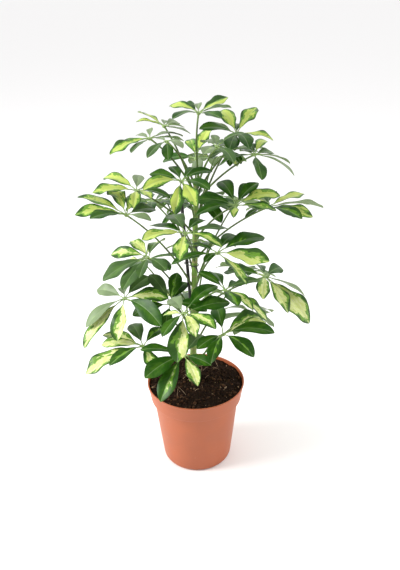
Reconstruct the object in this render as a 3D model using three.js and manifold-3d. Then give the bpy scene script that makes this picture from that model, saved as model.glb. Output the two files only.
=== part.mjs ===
// A potted umbrella plant (Schefflera arboricola, variegated) in a plastic nursery pot.
// Millimetres, +Z up. The origin is the middle of the pot's underside; -Y is the front.

import * as THREE from 'three';
import { mergeVertices } from 'three/addons/utils/BufferGeometryUtils.js';
import Module from 'manifold-3d';

const wasm = await Module();
wasm.setup();

// ---------------------------------------------------------------- driving dimensions

const SEAT_GAP = 0.3; // between two pieces that touch
const DEG = Math.PI / 180;

const POT = {
  height: 119,
  rimRadius: 65,
  baseRadius: 46.5,
  corner: 4, // height of the rounded foot
  cornerInset: 2, // how far the inside narrows at that foot
  collarBottom: 95,
  collarRadius: 60.7,
  bodyTopRadius: 57,
  shoulder: 3, // how far above the collar's underside the inside has widened into the collar
  lip: 1.4,
  wall: 1.6,
  floor: 2.2,
  sides: 32,
  slotBearings: [225, 345, 105],
  slotWidth: 8,
  slotHeight: 4.5,
  slotDepth: 10,
};
const SOIL = {
  edge: 115, // height of its top at the pot's wall
  mound: 4,
  lump: 1.2,
  rings: 6,
  sides: 24,
  clear: 0.5, // from the pot's wall
  hole: 0.4, // round the trunk and the cane
};
const TRUNK = {
  bottom: 74,
  top: 402,
  baseRadius: 4.6,
  taper: 1.8 / 280, // radius lost per mm of height above the soil
  swelling: 0.05, // share by which each second ring is fatter, as where old leaves stood
  soilLine: 120,
  footX: -3.6,
  footZ: 131,
  lean: 9.2 / 271, // sideways per mm of height
  sides: 10,
  step: 23,
};
const CANE = { bottom: 78, top: 388, radius: 2, sides: 8, foot: [3, 9, 100], lean: [-16 / 288, -5 / 288] };
const TIE = { heights: [317, 291], wire: 0.6, clear: 0.55, sides: 5, bends: 6 };
const STALK = { baseRadius: 1.3, endRadius: 0.9, sides: 4, spans: 5, rise: 0.1, pull: 0.06, sunk: 4 };
const HUB = { radius: 3.3, above: 0.9, below: 1.7 };
const BLADE = {
  stalkShare: 0.16, // share of the reach that is the leaflet's own little stalk
  stalkHalf: 0.6, // half the thickness of that stalk
  thickness: 1.4, // at the midrib; it thins to the edges
  halfWidth: 0.18, // share of the reach
  widest: 1.38, // power that moves the widest place past the middle
  fullness: 0.72, // power under 1 that rounds the sides
  fold: 14, // degrees that each half rises from the midrib
  arch: 44, // degrees that a blade bends over from base to tip
  stations: [0.17, 0.5, 0.82],
};
// What the fan of a leaf varies by, either way.
const VARY = { reach: 0.06, arch: 14, roll: 9, width: 0.14 };
const FAN_TILT = 1.3; // how fully blades turn into the plane of their fan
const LEAF_STEP = 10; // from one leaf to the next in the spread of values
// How blades are bent until they clear each other and the stems.
const BEND = {
  clear: 4, // between blades of different leaves
  ownClear: 3, // between blades of one leaf, in their outer halves
  stemClear: 3, // between a blade and a stem
  step: 2, // degrees in one pass
  dropLimit: 4,
  turnLimit: 3,
  passes: 30,
  along: 13, // sample points along a blade
  across: 5, // and across it
  foot: 0.12, // share of the reach where the samples start
  stemStep: 5, // between the points that stand for a stem
  rimStep: 7.5, // degrees between the points that stand for the pot's rim
  rimHalf: 2, // half the height of the band of rim that is kept clear
  stalkHalf: 1.2,
  stalkSpans: 21, // spans between the points that stand for a stalk
  hubSpans: 2, // of them left out next to the hub
  stemReach: 70, // stems further than this from a blade's middle are passed over
};

// Each compound leaf: [number, hub, height on the trunk where its stalk starts, leaflet's reach, fan].
// The fan lists its leaflets as [bearing, drop], with a third value where the reach differs (0 where
// it doesn't) and a fourth where a blade is turned about its midrib. Bearings run anticlockwise from
// +X and drops are below the horizontal, in degrees.
const LEAVES = [
  [1, [10, 0, 478], 402, 44, [[345, -12, 38], [36, -16, 43, 10], [91, -10, 28], [121, -1, 42],
    [147, -5, 40, -14], [232, -4], [306, -3, 41, -8]]],
  [2, [53, 8, 451], 352, 50, [[332, 2, 45, -14], [53, -29, 47, -14], [86, -8, 32], [111, -22, 48],
    [145, -8, 47, 12], [200, -14, 47], [257, 6, 46], [280, 8, 46]]],
  [3, [29, -32, 448], 392, 42, [[8, -8, 34], [48, 12], [98, -8, 28],
    [122, 4, 42], [246, -4, 36], [295, 9]]],
  [4, [72, -12, 433], 376, 46, [[332, 20, 52, -24], [8, 17, 44, -18], [50, 10, 36], [68, 0, 38],
    [92, -7, 34], [125, 10, 30], [174, 5, 44], [277, 19, 0, -10]]],
  [5, [-30, 20, 459], 382, 36, [[345, 17, 32, -14], [58, 10, 34], [89, -2, 22],
    [140, -12, 43, 6], [160, -7, 35], [325, 12, 30, -14]]],
  [6, [-45, -10, 453], 388, 46, [[22, 1, 40, -10], [46, 0, 44, -6], [94, -10, 24], [129, -2, 26],
    [172, 20, 45], [208, 12, 50], [240, 9, 38, 6]]],
  [7, [-25, -40, 458], 396, 32, [[21, 3, 16], [124, 4, 20], [232, 17, 34],
    [274, 21, 32], [304, 0, 32, -20]]],
  [8, [6, 50, 411], 366, 48, [[25, -5, 46], [66, -29], [98, -20, 44], [150, 13, 50], [275, 5, 40]]],
  [9, [-10, -53, 417], 352, 44, [[33, -2, 40], [62, -8, 40], [115, -7, 36], [137, 0, 42], [158, -3, 38],
    [211, 0, 47, -14], [262, 26, 47], [291, 16, 46], [318, 3, 40]]],
  [10, [8, 40, 359], 300, 54, [[15, 8], [56, 15], [100, 20], [150, 22],
    [198, 20], [240, 15], [282, 14], [318, 6]]],
  [11, [50, -38, 382], 328, 50, [[350, -3, 46], [22, -6, 54, 10], [38, -15, 42], [63, -14, 54],
    [124, -14, 56], [155, -2], [200, 5], [262, 4, 30]]],
  [12, [89, -4, 366], 302, 56, [[5, 3, 68, -16], [29, -7, 55], [80, 4], [122, 22, 44],
    [215, 8, 34], [314, 0, 52, 16], [338, 5, 0, 16]]],
  [13, [-75, -30, 370], 264, 50, [[330, 1, 34, 16], [52, 2, 48], [76, -4, 44], [114, -18],
    [163, -15, 63], [187, -9, 58, -12], [217, -8, 48, 12]]],
  [14, [-64, -4, 390], 334, 46, [[345, 9, 42], [42, 6, 42], [90, -9, 40], [138, -4, 57, -12],
    [188, 1, 51], [270, 6, 42], [298, -2, 40]]],
  [15, [-50, 60, 352], 306, 48, [[20, 10], [61, 14], [105, 10], [150, 12, 42],
    [190, 8, 36], [225, 0, 36], [268, -3, 42], [312, 2]]],
  [16, [-7, -66, 361], 299, 52, [[28, 4, 56, -14], [62, 4, 48], [110, -3, 54], [139, 5, 56],
    [206, -4, 52, -10], [263, 10, 50], [326, 6, 48]]],
  [17, [28, -71, 339], 259, 55, [[30, -4, 64, 14], [60, -2, 50], [138, 3, 43, 14], [188, 10, 53],
    [240, -2, 30], [304, 18, 0, -22], [339, 1, 60, 18]]],
  [18, [87, -23, 284], 224, 54, [[333, 21, 53, -16], [58, 8, 46], [97, 5, 42], [146, 9, 60],
    [257, 0, 48], [298, 27, 0, 14], [328, 33, 77, 6]]],
  [19, [37, -59, 286], 232, 48, [[10, -4, 43], [56, 13, 40], [107, -2, 46], [150, -20, 39, -14],
    [288, 1], [315, 16], [330, 15, 60]]],
  [20, [34, -76, 236], 128, 54, [[348, -8, 61], [38, -3, 60, 14], [14, -9, 54, -6], [96, -5],
    [218, 5, 39, -10], [251, 12, 50], [304, 1, 58, 6]]],
  [21, [-13, -81, 211], 142, 54, [[67, 3, 56], [183, -4, 52, 12], [221, 6, 59, -4],
    [242, 28, 64], [290, 10, 51], [319, -3, 42]]],
  [22, [-11, -90, 273], 204, 50, [[24, -3, 58], [46, -8, 62], [112, 3, 44], [148, 20, 31],
    [237, 10, 44], [265, 23, 62], [288, 12, 42], [310, 1, 53]]],
  [23, [-86, -16, 254], 188, 58, [[9, 0, 54], [61, -9, 58, 14], [97, 7, 44], [145, 1, 46], [206, 27, 59, 10],
    [215, 39, 78, 16], [265, 41, 60], [318, 19, 70, 16], [352, 0, 56]]],
  [24, [-56, 16, 294], 226, 50, [[80, -3, 42], [122, -8, 47], [159, 4, 53, -22], [203, 20, 64, 6],
    [235, 20, 58, -8], [258, 8, 44], [304, 2, 42, 10]]],
  [25, [-62, -64, 214], 154, 52, [[58, -2, 45, 12], [110, -5, 50], [150, -7, 60], [172, -6, 50, -14],
    [200, 15, 75, 10], [222, 6, 51], [296, 3, 42]]],
  [26, [-29, -22, 248], 202, 48, [[350, 8], [57, -8, 48], [86, -29, 46],
    [131, -18, 52], [182, 4], [257, 7]]],
  [27, [79, 30, 202], 146, 50, [[20, 6, 24], [55, 22], [95, 10], [140, 10],
    [185, 10], [235, 8], [285, 6, 30], [322, 14, 33]]],
  [28, [30, 85, 400], 342, 55, [[10, 10, 42], [50, 26], [90, 28], [130, 20],
    [170, 4, 42], [215, -12, 38], [265, -16, 36], [320, -6, 36]]],
  [29, [-35, 95, 340], 280, 58, [[20, 8], [60, 22], [100, 30], [140, 27],
    [180, 14], [225, 0, 46], [270, -14, 38], [320, -4, 48]]],
  [30, [58, 85, 342], 264, 60, [[10, 10, 46], [50, 30], [90, 26], [130, 14],
    [175, 0], [220, -14, 42], [270, -20, 34], [320, -10, 38]]],
  [31, [22, 103, 275], 212, 62, [[10, 10, 50], [50, 26], [90, 30], [130, 25],
    [170, 12], [215, -6, 50], [265, -14, 40], [320, -8, 46]]],
  [32, [-70, 75, 262], 194, 62, [[5, -4], [64, -4], [96, 26], [132, 26, 50],
    [170, 20, 44], [215, 6, 40], [260, -2, 50], [310, -8]]],
  [33, [75, 85, 240], 174, 60, [[10, 20, 42], [50, 32], [90, 26], [130, 14],
    [175, -4, 46], [220, -16, 40], [265, -14, 34], [315, 4, 38]]],
  [34, [-14, 90, 205], 148, 60, [[15, 13], [60, 26], [100, 28], [140, 22],
    [180, 12], [225, -4], [270, -12], [320, 0]]],
  [35, [45, 20, 429], 384, 44, [[350, 8], [30, 12], [75, 4], [120, 0],
    [165, 4], [215, 8, 30], [262, 10, 24], [308, 14, 26]]],
];

// ---------------------------------------------------------------- small tools

const finish = (name, color, roughness) =>
  new THREE.MeshStandardMaterial({ name, color, roughness, metalness: 0 });

const TERRACOTTA_PLASTIC = finish('terracotta_plastic', 0xc4714f, 0.55);
const POTTING_SOIL = finish('potting_soil', 0x2a1c14, 0.95);
const GREEN_STEM = finish('green_stem', 0x7f9a55, 0.6);
const BLACK_CANE = finish('black_cane', 0x1c1d20, 0.6);
const TIE_WIRE = finish('tie_wire', 0x23261f, 0.5);
const LEAF_GREEN = finish('leaf_green', 0x3f7a2c, 0.4);

// A repeatable spread of values between -1 and 1 for item i.
const vary = (i, k) => ((i * 0.61803399 + k * 0.75487767) % 1) * 2 - 1;

const add = (a, b, f = 1) => [a[0] + f * b[0], a[1] + f * b[1], a[2] + f * b[2]];
const minus = (a, b) => add(a, b, -1);
const times = (a, f) => [a[0] * f, a[1] * f, a[2] * f];
const dot = (a, b) => a[0] * b[0] + a[1] * b[1] + a[2] * b[2];
const cross = (a, b) => [
  a[1] * b[2] - a[2] * b[1],
  a[2] * b[0] - a[0] * b[2],
  a[0] * b[1] - a[1] * b[0],
];
const length = (a) => Math.sqrt(dot(a, a));
const unit = (a) => times(a, 1 / length(a));

// A closed solid from points and triangles.
function solidFrom(points, triangles) {
  return new wasm.Manifold(
    new wasm.Mesh({
      numProp: 3,
      vertProperties: new Float32Array(points.flat()),
      triVerts: new Uint32Array(triangles.flat()),
    }),
  );
}

// A solid from a closed three.js geometry.
function solidOf(geometry) {
  const bare = geometry.clone();
  bare.deleteAttribute('normal');
  bare.deleteAttribute('uv');
  const merged = mergeVertices(bare, 1e-3);
  return new wasm.Manifold(
    new wasm.Mesh({
      numProp: 3,
      vertProperties: merged.attributes.position.array,
      triVerts: new Uint32Array(merged.index.array),
    }),
  );
}

function geometryOf(solid) {
  const mesh = solid.getMesh();
  const geometry = new THREE.BufferGeometry();
  geometry.setAttribute('position', new THREE.BufferAttribute(new Float32Array(mesh.vertProperties), 3));
  geometry.setIndex(new THREE.BufferAttribute(new Uint32Array(mesh.triVerts), 1));
  return geometry;
}

// Rings of points, one after another, joined into a closed skin. A ring of one point is a tip.
function skin(rings) {
  const points = rings.flat();
  const starts = rings.map((_, i) => rings.slice(0, i).reduce((n, r) => n + r.length, 0));
  const triangles = [];
  for (let k = 0; k + 1 < rings.length; k += 1) {
    const a = rings[k].length;
    const b = rings[k + 1].length;
    const n = Math.max(a, b);
    for (let i = 0; i < n; i += 1) {
      const j = (i + 1) % n;
      const [p, q] = [starts[k] + (i % a), starts[k] + (j % a)];
      const [r, s] = [starts[k + 1] + (i % b), starts[k + 1] + (j % b)];
      if (a > 1) triangles.push([p, q, s]);
      if (b > 1) triangles.push([p, s, r]);
    }
  }
  const cap = (k, flip) => {
    const n = rings[k].length;
    for (let i = 1; i + 1 < n; i += 1) {
      const face = [starts[k], starts[k] + i, starts[k] + i + 1];
      triangles.push(flip ? face.reverse() : face);
    }
  };
  cap(0, true);
  cap(rings.length - 1, false);
  return solidFrom(points, triangles);
}

// A ring of points round a centre, in the plane square to a direction.
function ringAround(centre, direction, radius, sides) {
  const d = unit(direction);
  const side = unit(cross(Math.abs(d[2]) > 0.9 ? [0, 1, 0] : [0, 0, 1], d));
  const up = cross(d, side);
  const ring = [];
  for (let i = 0; i < sides; i += 1) {
    const a = (2 * Math.PI * i) / sides;
    ring.push(add(add(centre, side, radius * Math.cos(a)), up, radius * Math.sin(a)));
  }
  return ring;
}

// A round rod along a list of points, with a radius at each.
function rod(path, radii, sides) {
  return skin(
    path.map((p, i) => {
      const ahead = path[Math.min(i + 1, path.length - 1)];
      const behind = path[Math.max(i - 1, 0)];
      return ringAround(p, minus(ahead, behind), radii[i], sides);
    }),
  );
}

// ---------------------------------------------------------------- pot and soil

// The inside radius of the pot's body at a height.
function bodyInside(z) {
  const share = (z - POT.corner) / (POT.collarBottom - POT.corner);
  return POT.baseRadius - POT.wall + share * (POT.bodyTopRadius - POT.baseRadius);
}

// The inside radius of the pot's collar at a height.
function collarInside(z) {
  const bottom = POT.collarBottom + POT.shoulder;
  const share = (z - bottom) / (POT.height - bottom);
  return POT.collarRadius - POT.wall + share * (POT.rimRadius - POT.collarRadius);
}

// A thin tapered pot: body, outward step, deeper collar and a small lip, with drain slots at the foot.
function pot() {
  const { height, wall, floor, corner, collarBottom, lip } = POT;
  const profile = [
    [0, 0],
    [POT.baseRadius - corner * 0.55, 0],
    [POT.baseRadius - corner * 0.18, corner * 0.3],
    [POT.baseRadius, corner],
    [POT.bodyTopRadius, collarBottom],
    [POT.collarRadius, collarBottom + 0.5],
    [POT.rimRadius - 0.9, height - lip * 1.6],
    [POT.rimRadius, height - lip],
    [POT.rimRadius, height - 0.3],
    [POT.rimRadius - 0.4, height],
    [POT.rimRadius - wall, height],
    [POT.collarRadius - wall, collarBottom + POT.shoulder],
    [POT.bodyTopRadius - wall, collarBottom],
    [POT.baseRadius - wall, corner],
    [POT.baseRadius - wall - POT.cornerInset, floor],
    [0, floor],
  ].map(([r, z]) => new THREE.Vector2(r, z));
  let solid = solidOf(new THREE.LatheGeometry(profile, POT.sides).rotateX(Math.PI / 2));
  for (const bearing of POT.slotBearings) {
    const slot = new THREE.BoxGeometry(POT.slotDepth, POT.slotWidth, POT.slotHeight);
    slot.translate(POT.baseRadius, 0, 0).rotateZ(bearing * DEG);
    solid = solid.subtract(solidOf(slot));
  }
  return geometryOf(solid);
}

// Soil filling the pot: a low mound with lumps on top, and holes where the trunk and the cane stand.
function soil(trunkHole, caneHole) {
  const top = [];
  for (let k = 1; k <= SOIL.rings; k += 1) {
    const share = k / SOIL.rings;
    const ring = [];
    for (let i = 0; i < SOIL.sides; i += 1) {
      const a = (2 * Math.PI * (i + 0.5 * (k % 2))) / SOIL.sides;
      const r = share * (collarInside(SOIL.edge) - SOIL.clear);
      const lump = k < SOIL.rings ? SOIL.lump * vary(i + 31 * k, 3) : 0;
      const z = SOIL.edge + SOIL.mound * (1 - share * share) + lump;
      ring.push([r * Math.cos(a), r * Math.sin(a), z]);
    }
    top.unshift(ring);
  }
  const level = (z, inside) => top[0].map(([x, y]) => {
    const r = inside - SOIL.clear;
    const l = Math.hypot(x, y);
    return [(x / l) * r, (y / l) * r, z];
  });
  const aboveFoot = POT.corner + POT.cornerInset;
  const rings = [
    level(POT.floor + SEAT_GAP, bodyInside(POT.corner) - POT.cornerInset),
    level(aboveFoot, bodyInside(aboveFoot)),
    level(POT.collarBottom, bodyInside(POT.collarBottom)),
    level(POT.collarBottom + POT.shoulder, POT.collarRadius - POT.wall),
    ...top,
    [[0, 0, SOIL.edge + SOIL.mound]],
  ];
  return geometryOf(skin(rings).subtract(trunkHole).subtract(caneHole));
}

// ---------------------------------------------------------------- trunk, cane and ties

const trunkAt = (z) => [TRUNK.footX + (z - TRUNK.footZ) * TRUNK.lean, 0, z];
const trunkRadius = (z) => TRUNK.baseRadius - (z - TRUNK.soilLine) * TRUNK.taper;
const caneAt = (z) => [
  CANE.foot[0] + (z - CANE.foot[2]) * CANE.lean[0],
  CANE.foot[1] + (z - CANE.foot[2]) * CANE.lean[1],
  z,
];

// The trunk, made larger all round by `grow` where a hole or a cut is wanted.
function trunkSolid(grow = 0) {
  const path = [];
  const radii = [];
  const count = Math.round((TRUNK.top - TRUNK.bottom) / TRUNK.step);
  for (let i = 0; i <= count; i += 1) {
    const z = TRUNK.bottom - grow + ((TRUNK.top - TRUNK.bottom + 2 * grow) * i) / count;
    path.push(trunkAt(z));
    radii.push((trunkRadius(Math.max(z, TRUNK.soilLine)) + grow) * (1 + TRUNK.swelling * (i % 2)));
  }
  return rod(path, radii, TRUNK.sides);
}

function caneSolid(grow = 0) {
  const ends = [CANE.bottom - grow, CANE.top + grow].map(caneAt);
  return rod(ends, [CANE.radius + grow, CANE.radius + grow], CANE.sides);
}

// A wire loop round the trunk and the cane at one height.
function tie(z) {
  const [a, b] = [trunkAt(z), caneAt(z)];
  const away = Math.atan2(b[1] - a[1], b[0] - a[0]);
  const clear = TIE.clear + TIE.wire;
  const path = [];
  for (const [centre, radius, from] of [
    [b, CANE.radius + clear, away - Math.PI / 2],
    [a, trunkRadius(z) * (1 + TRUNK.swelling) + clear, away + Math.PI / 2],
  ]) {
    for (let i = 0; i <= TIE.bends; i += 1) {
      const t = from + (Math.PI * i) / TIE.bends;
      path.push([centre[0] + radius * Math.cos(t), centre[1] + radius * Math.sin(t), z]);
    }
  }
  const n = path.length;
  const points = [];
  const triangles = [];
  path.forEach((p, i) => {
    const along = unit(minus(path[(i + 1) % n], path[(i + n - 1) % n]));
    const out = cross(along, [0, 0, 1]);
    for (let k = 0; k < TIE.sides; k += 1) {
      const t = (2 * Math.PI * k) / TIE.sides;
      points.push(add(add(p, out, TIE.wire * Math.cos(t)), [0, 0, 1], TIE.wire * Math.sin(t)));
      const [i0, i1] = [i * TIE.sides, ((i + 1) % n) * TIE.sides];
      const k1 = (k + 1) % TIE.sides;
      triangles.push([i0 + k, i1 + k, i1 + k1], [i0 + k, i1 + k1, i0 + k1]);
    }
  });
  return geometryOf(solidFrom(points, triangles));
}

// ---------------------------------------------------------------- leaflets

// The shape of every leaflet, leaf by leaf, before any is bent clear. Blades turn about their midribs
// into the plane of their fan, which leans to the side where its leaflets drop most.
function leaflets() {
  const list = [];
  for (const [leaf, hub, , usual, fan] of LEAVES) {
    const lean = [Math.cos, Math.sin].map((part) => {
      const sum = fan.reduce((total, [bearing, drop]) => total + drop * part(bearing * DEG), 0);
      return (2 * FAN_TILT * sum) / fan.length;
    });
    fan.forEach(([bearing, drop, own, turned = 0], position) => {
      const i = LEAF_STEP * leaf + position;
      const level = lean[0] * Math.sin(bearing * DEG) - lean[1] * Math.cos(bearing * DEG);
      list.push({
        leaf,
        hub,
        bearing,
        drop,
        reach: own || usual * (1 + VARY.reach * vary(i, 2)),
        arch: BLADE.arch + VARY.arch * vary(i, 3),
        roll: level + turned + VARY.roll * vary(i, 4),
        halfWidth: BLADE.halfWidth * (1 + VARY.width * vary(i, 5)),
      });
    });
  }
  return list;
}

// Half the width of a blade at u, from 0 at its foot to 1 at its tip, as a share of the widest:
// narrow at the foot and widest past the middle.
const outline = (u) => Math.max(Math.sin(Math.PI * Math.max(u, 0) ** BLADE.widest), 0) ** BLADE.fullness;

// The frame of a leaflet at s, from 0 at the hub to 1 at the tip. Its midrib is an arc of a circle.
function bladeFrame(leaflet, s) {
  const { bearing, reach } = leaflet;
  const [b, drop, arch, roll] = [bearing, leaflet.drop, leaflet.arch, leaflet.roll].map((v) => v * DEG);
  const chord = [Math.cos(b) * Math.cos(drop), Math.sin(b) * Math.cos(drop), -Math.sin(drop)];
  const above = [Math.cos(b) * Math.sin(drop), Math.sin(b) * Math.sin(drop), Math.cos(drop)];
  const level = [-Math.sin(b), Math.cos(b), 0];
  const turn = arch * (s - 0.5);
  const half = Math.sin(arch / 2);
  const along = (reach * (half + Math.sin(turn))) / (2 * half);
  const rise = (reach * (Math.cos(turn) - Math.cos(arch / 2))) / (2 * half);
  const normal = add(times(above, Math.cos(turn)), chord, Math.sin(turn));
  return {
    middle: add(add(leaflet.hub, chord, along), above, rise),
    side: add(times(level, Math.cos(roll)), normal, Math.sin(roll)),
    up: add(times(normal, Math.cos(roll)), level, -Math.sin(roll)),
    half: reach * leaflet.halfWidth * outline((s - BLADE.stalkShare) / (1 - BLADE.stalkShare)),
  };
}

// A point of the blade at s along it and t across it, -1 to 1, with its halves folded up from the midrib.
function bladePoint(frame, t, half = frame.half) {
  const off = t * half;
  const lifted = add(frame.middle, frame.side, off);
  return add(lifted, frame.up, Math.abs(off) * Math.tan(BLADE.fold * DEG));
}

// A cross-section of a leaflet at s: its edge on the side of larger bearings, its top, its other
// edge and its underside.
function bladeSection(leaflet, s) {
  const frame = bladeFrame(leaflet, s);
  const half = Math.max(frame.half, BLADE.stalkHalf);
  const thick = s > BLADE.stalkShare ? BLADE.thickness / 2 : BLADE.stalkHalf;
  return [
    bladePoint(frame, 1, half),
    add(frame.middle, frame.up, thick),
    bladePoint(frame, -1, half),
    add(frame.middle, frame.up, -thick),
  ];
}

// A fan of leaflets as one closed solid: each leaflet's first section is a side of the hub that they share.
function fanSolid(hub, fan) {
  const points = [add(hub, [0, 0, 1], HUB.above), add(hub, [0, 0, 1], -HUB.below)];
  const triangles = [];
  const around = [...fan].sort((a, b) => a.bearing - b.bearing);
  const stations = (leaflet) => [HUB.radius / leaflet.reach, ...BLADE.stations];
  const size = 4 * (BLADE.stations.length + 1) + 1;
  around.forEach((leaflet, n) => {
    const start = points.length;
    for (const s of stations(leaflet)) points.push(...bladeSection(leaflet, s));
    points.push(bladeFrame(leaflet, 1).middle);
    const [far, top, near, under] = [start, start + 1, start + 2, start + 3];
    const next = 2 + size * ((n + 1) % around.length) + 2;
    triangles.push([0, near, top], [0, top, far], [0, far, next]);
    triangles.push([1, under, near], [1, far, under], [1, next, far]);
    for (let k = 0; k < BLADE.stations.length; k += 1) {
      for (let i = 0; i < 4; i += 1) {
        const [p, q] = [start + 4 * k + i, start + 4 * k + ((i + 1) % 4)];
        triangles.push([p, q, q + 4], [p, q + 4, p + 4]);
      }
    }
    const last = start + 4 * BLADE.stations.length;
    for (let i = 0; i < 4; i += 1) triangles.push([last + i, last + ((i + 1) % 4), start + size - 1]);
  });
  return solidFrom(points, triangles);
}

// ---------------------------------------------------------------- bending blades clear of each other

// Points along a leaf's stalk, from the trunk's skin up to the hub; `sunk` carries it back into the trunk.
function stalkPath([, hub, start], count, sunk = 0) {
  const root = trunkAt(start);
  const out = minus(hub, root);
  const flat = Math.hypot(out[0], out[1]);
  const away = [out[0] / flat, out[1] / flat, 0];
  const skinPoint = add(root, away, trunkRadius(start) + SEAT_GAP);
  const span = minus(hub, skinPoint);
  const lift = STALK.rise * length(out);
  const bend = add(add(add(skinPoint, span, 0.5), [0, 0, 1], lift), away, -STALK.pull * length(out));
  const path = sunk > 0 ? [add(skinPoint, unit(minus(bend, skinPoint)), -sunk)] : [];
  for (let i = 0; i <= count; i += 1) {
    const t = i / count;
    path.push(add(add(times(skinPoint, (1 - t) ** 2), bend, 2 * t * (1 - t)), hub, t * t));
  }
  return path;
}

// What a blade must not touch: the trunk, the cane, the pot's rim and the stalks of the other leaves.
function obstacles() {
  const list = [];
  for (let z = SOIL.edge + 1; z < TRUNK.top; z += BEND.stemStep) {
    list.push({ at: trunkAt(z), radius: trunkRadius(z), leaf: 0 });
    if (z < CANE.top) list.push({ at: caneAt(z), radius: CANE.radius, leaf: 0 });
  }
  for (let a = 0; a < 360; a += BEND.rimStep) {
    const r = POT.rimRadius - 1;
    const at = [r * Math.cos(a * DEG), r * Math.sin(a * DEG), POT.height - 1];
    list.push({ at, radius: BEND.rimHalf, leaf: 0 });
  }
  for (const row of LEAVES) {
    const stalk = stalkPath(row, BEND.stalkSpans).slice(0, -BEND.hubSpans);
    for (const at of stalk) list.push({ at, radius: BEND.stalkHalf, leaf: row[0] });
  }
  return list;
}

// Sample points of a blade, foot to tip and edge to edge, with the ball that holds them.
function samples(leaflet) {
  const points = [];
  for (let i = 0; i < BEND.along; i += 1) {
    const frame = bladeFrame(leaflet, BEND.foot + ((1 - BEND.foot) * i) / (BEND.along - 1));
    for (let k = 0; k < BEND.across; k += 1) {
      points.push(bladePoint(frame, -1 + (2 * k) / (BEND.across - 1)));
    }
  }
  const low = [0, 1, 2].map((k) => Math.min(...points.map((p) => p[k])));
  const high = [0, 1, 2].map((k) => Math.max(...points.map((p) => p[k])));
  const centre = [0, 1, 2].map((k) => 0.5 * (low[k] + high[k]));
  const radius = Math.max(...points.map((p) => length(minus(p, centre))));
  const mean = [0, 1, 2].map((k) => points.reduce((n, p) => n + p[k], 0) / points.length);
  const midribs = points.filter((_, i) => i % BEND.across === (BEND.across - 1) / 2);
  const midribHeight = midribs.reduce((n, p) => n + p[2], 0) / midribs.length;
  return { points, centre, radius, mean, midribHeight };
}

// The nearest two points of two lists, from the given place in each on, if they are nearer than a margin.
function nearest(a, b, from, margin) {
  let best = { distance: Infinity };
  for (let i = from; i < a.length; i += 1) {
    for (let j = from; j < b.length; j += 1) {
      const dx = a[i][0] - b[j][0];
      const dy = a[i][1] - b[j][1];
      const dz = a[i][2] - b[j][2];
      const distance = dx * dx + dy * dy + dz * dz;
      if (distance < best.distance) best = { distance, i, j };
    }
  }
  best.distance = Math.sqrt(best.distance);
  return best.distance < margin ? best : null;
}

// Blades that come too near each other are bent apart, the upper one up and the lower one down, and
// both aside; a blade too near a stem is turned away from it. This is repeated until all are clear.
function bendClear(list) {
  const stems = obstacles();
  const half = Math.floor(BEND.along / 2) * BEND.across;
  for (let pass = 0; pass < BEND.passes; pass += 1) {
    const shapes = list.map(samples);
    const drops = list.map(() => 0);
    const turns = list.map(() => 0);
    let faults = 0;
    for (let i = 0; i < list.length; i += 1) {
      for (let j = i + 1; j < list.length; j += 1) {
        const [a, b] = [shapes[i], shapes[j]];
        if (length(minus(a.centre, b.centre)) >= a.radius + b.radius) continue;
        const same = list[i].leaf === list[j].leaf;
        const from = same ? half : 0;
        const near = nearest(a.points, b.points, from, same ? BEND.ownClear : BEND.clear);
        if (!near) continue;
        faults += 1;
        const gap = a.points[near.i][2] - b.points[near.j][2];
        const up = gap + 0.2 * (a.midribHeight - b.midribHeight) > 0 ? 1 : -1;
        drops[i] -= BEND.step * up;
        drops[j] += BEND.step * up;
        for (const [u, v] of [[i, j], [j, i]]) {
          const bearing = list[u].bearing * DEG;
          const apart = minus(shapes[v].mean, shapes[u].mean);
          const aside = Math.cos(bearing) * apart[1] - Math.sin(bearing) * apart[0];
          turns[u] -= 0.5 * BEND.step * Math.sign(aside);
        }
      }
    }
    list.forEach((leaflet, i) => {
      const { points, mean } = shapes[i];
      let best = { distance: Infinity };
      for (const stem of stems) {
        if (stem.leaf === leaflet.leaf || length(minus(stem.at, mean)) >= BEND.stemReach) continue;
        points.forEach((p, k) => {
          const distance = length(minus(p, stem.at)) - stem.radius;
          if (distance < best.distance) best = { distance, stem, k };
        });
      }
      if (best.distance >= BEND.stemClear) return;
      faults += 1;
      const bearing = leaflet.bearing * DEG;
      const middle = points[Math.floor(best.k / BEND.across) * BEND.across + (BEND.across - 1) / 2];
      const apart = minus(best.stem.at, middle);
      const aside = Math.cos(bearing) * apart[1] - Math.sin(bearing) * apart[0];
      turns[i] -= BEND.step * (aside > 0 ? 1 : -1);
      const above = points[best.k][2] - best.stem.at[2];
      if (best.stem.leaf > 0 || Math.abs(above) > 1) drops[i] -= 0.5 * BEND.step * (above > 0 ? 1 : -1);
    });
    if (faults === 0) break;
    list.forEach((leaflet, i) => {
      leaflet.drop += Math.min(Math.max(drops[i], -BEND.dropLimit), BEND.dropLimit);
      leaflet.bearing += Math.min(Math.max(turns[i], -BEND.turnLimit), BEND.turnLimit);
    });
  }
  return list;
}

// ---------------------------------------------------------------- whole leaves

// A compound leaf: its stalk and its fan of leaflets, fused into one body.
function leafGeometry(row, fan, trunkCut) {
  const path = stalkPath(row, STALK.spans, STALK.sunk);
  const radii = path.map((_, i) => {
    const share = i / (path.length - 1);
    return STALK.baseRadius + share * (STALK.endRadius - STALK.baseRadius);
  });
  return geometryOf(rod(path, radii, STALK.sides).subtract(trunkCut).add(fanSolid(row[1], fan)));
}

function piece(name, geometry, material) {
  const mesh = new THREE.Mesh(geometry, material);
  mesh.name = name;
  return mesh;
}

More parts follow.
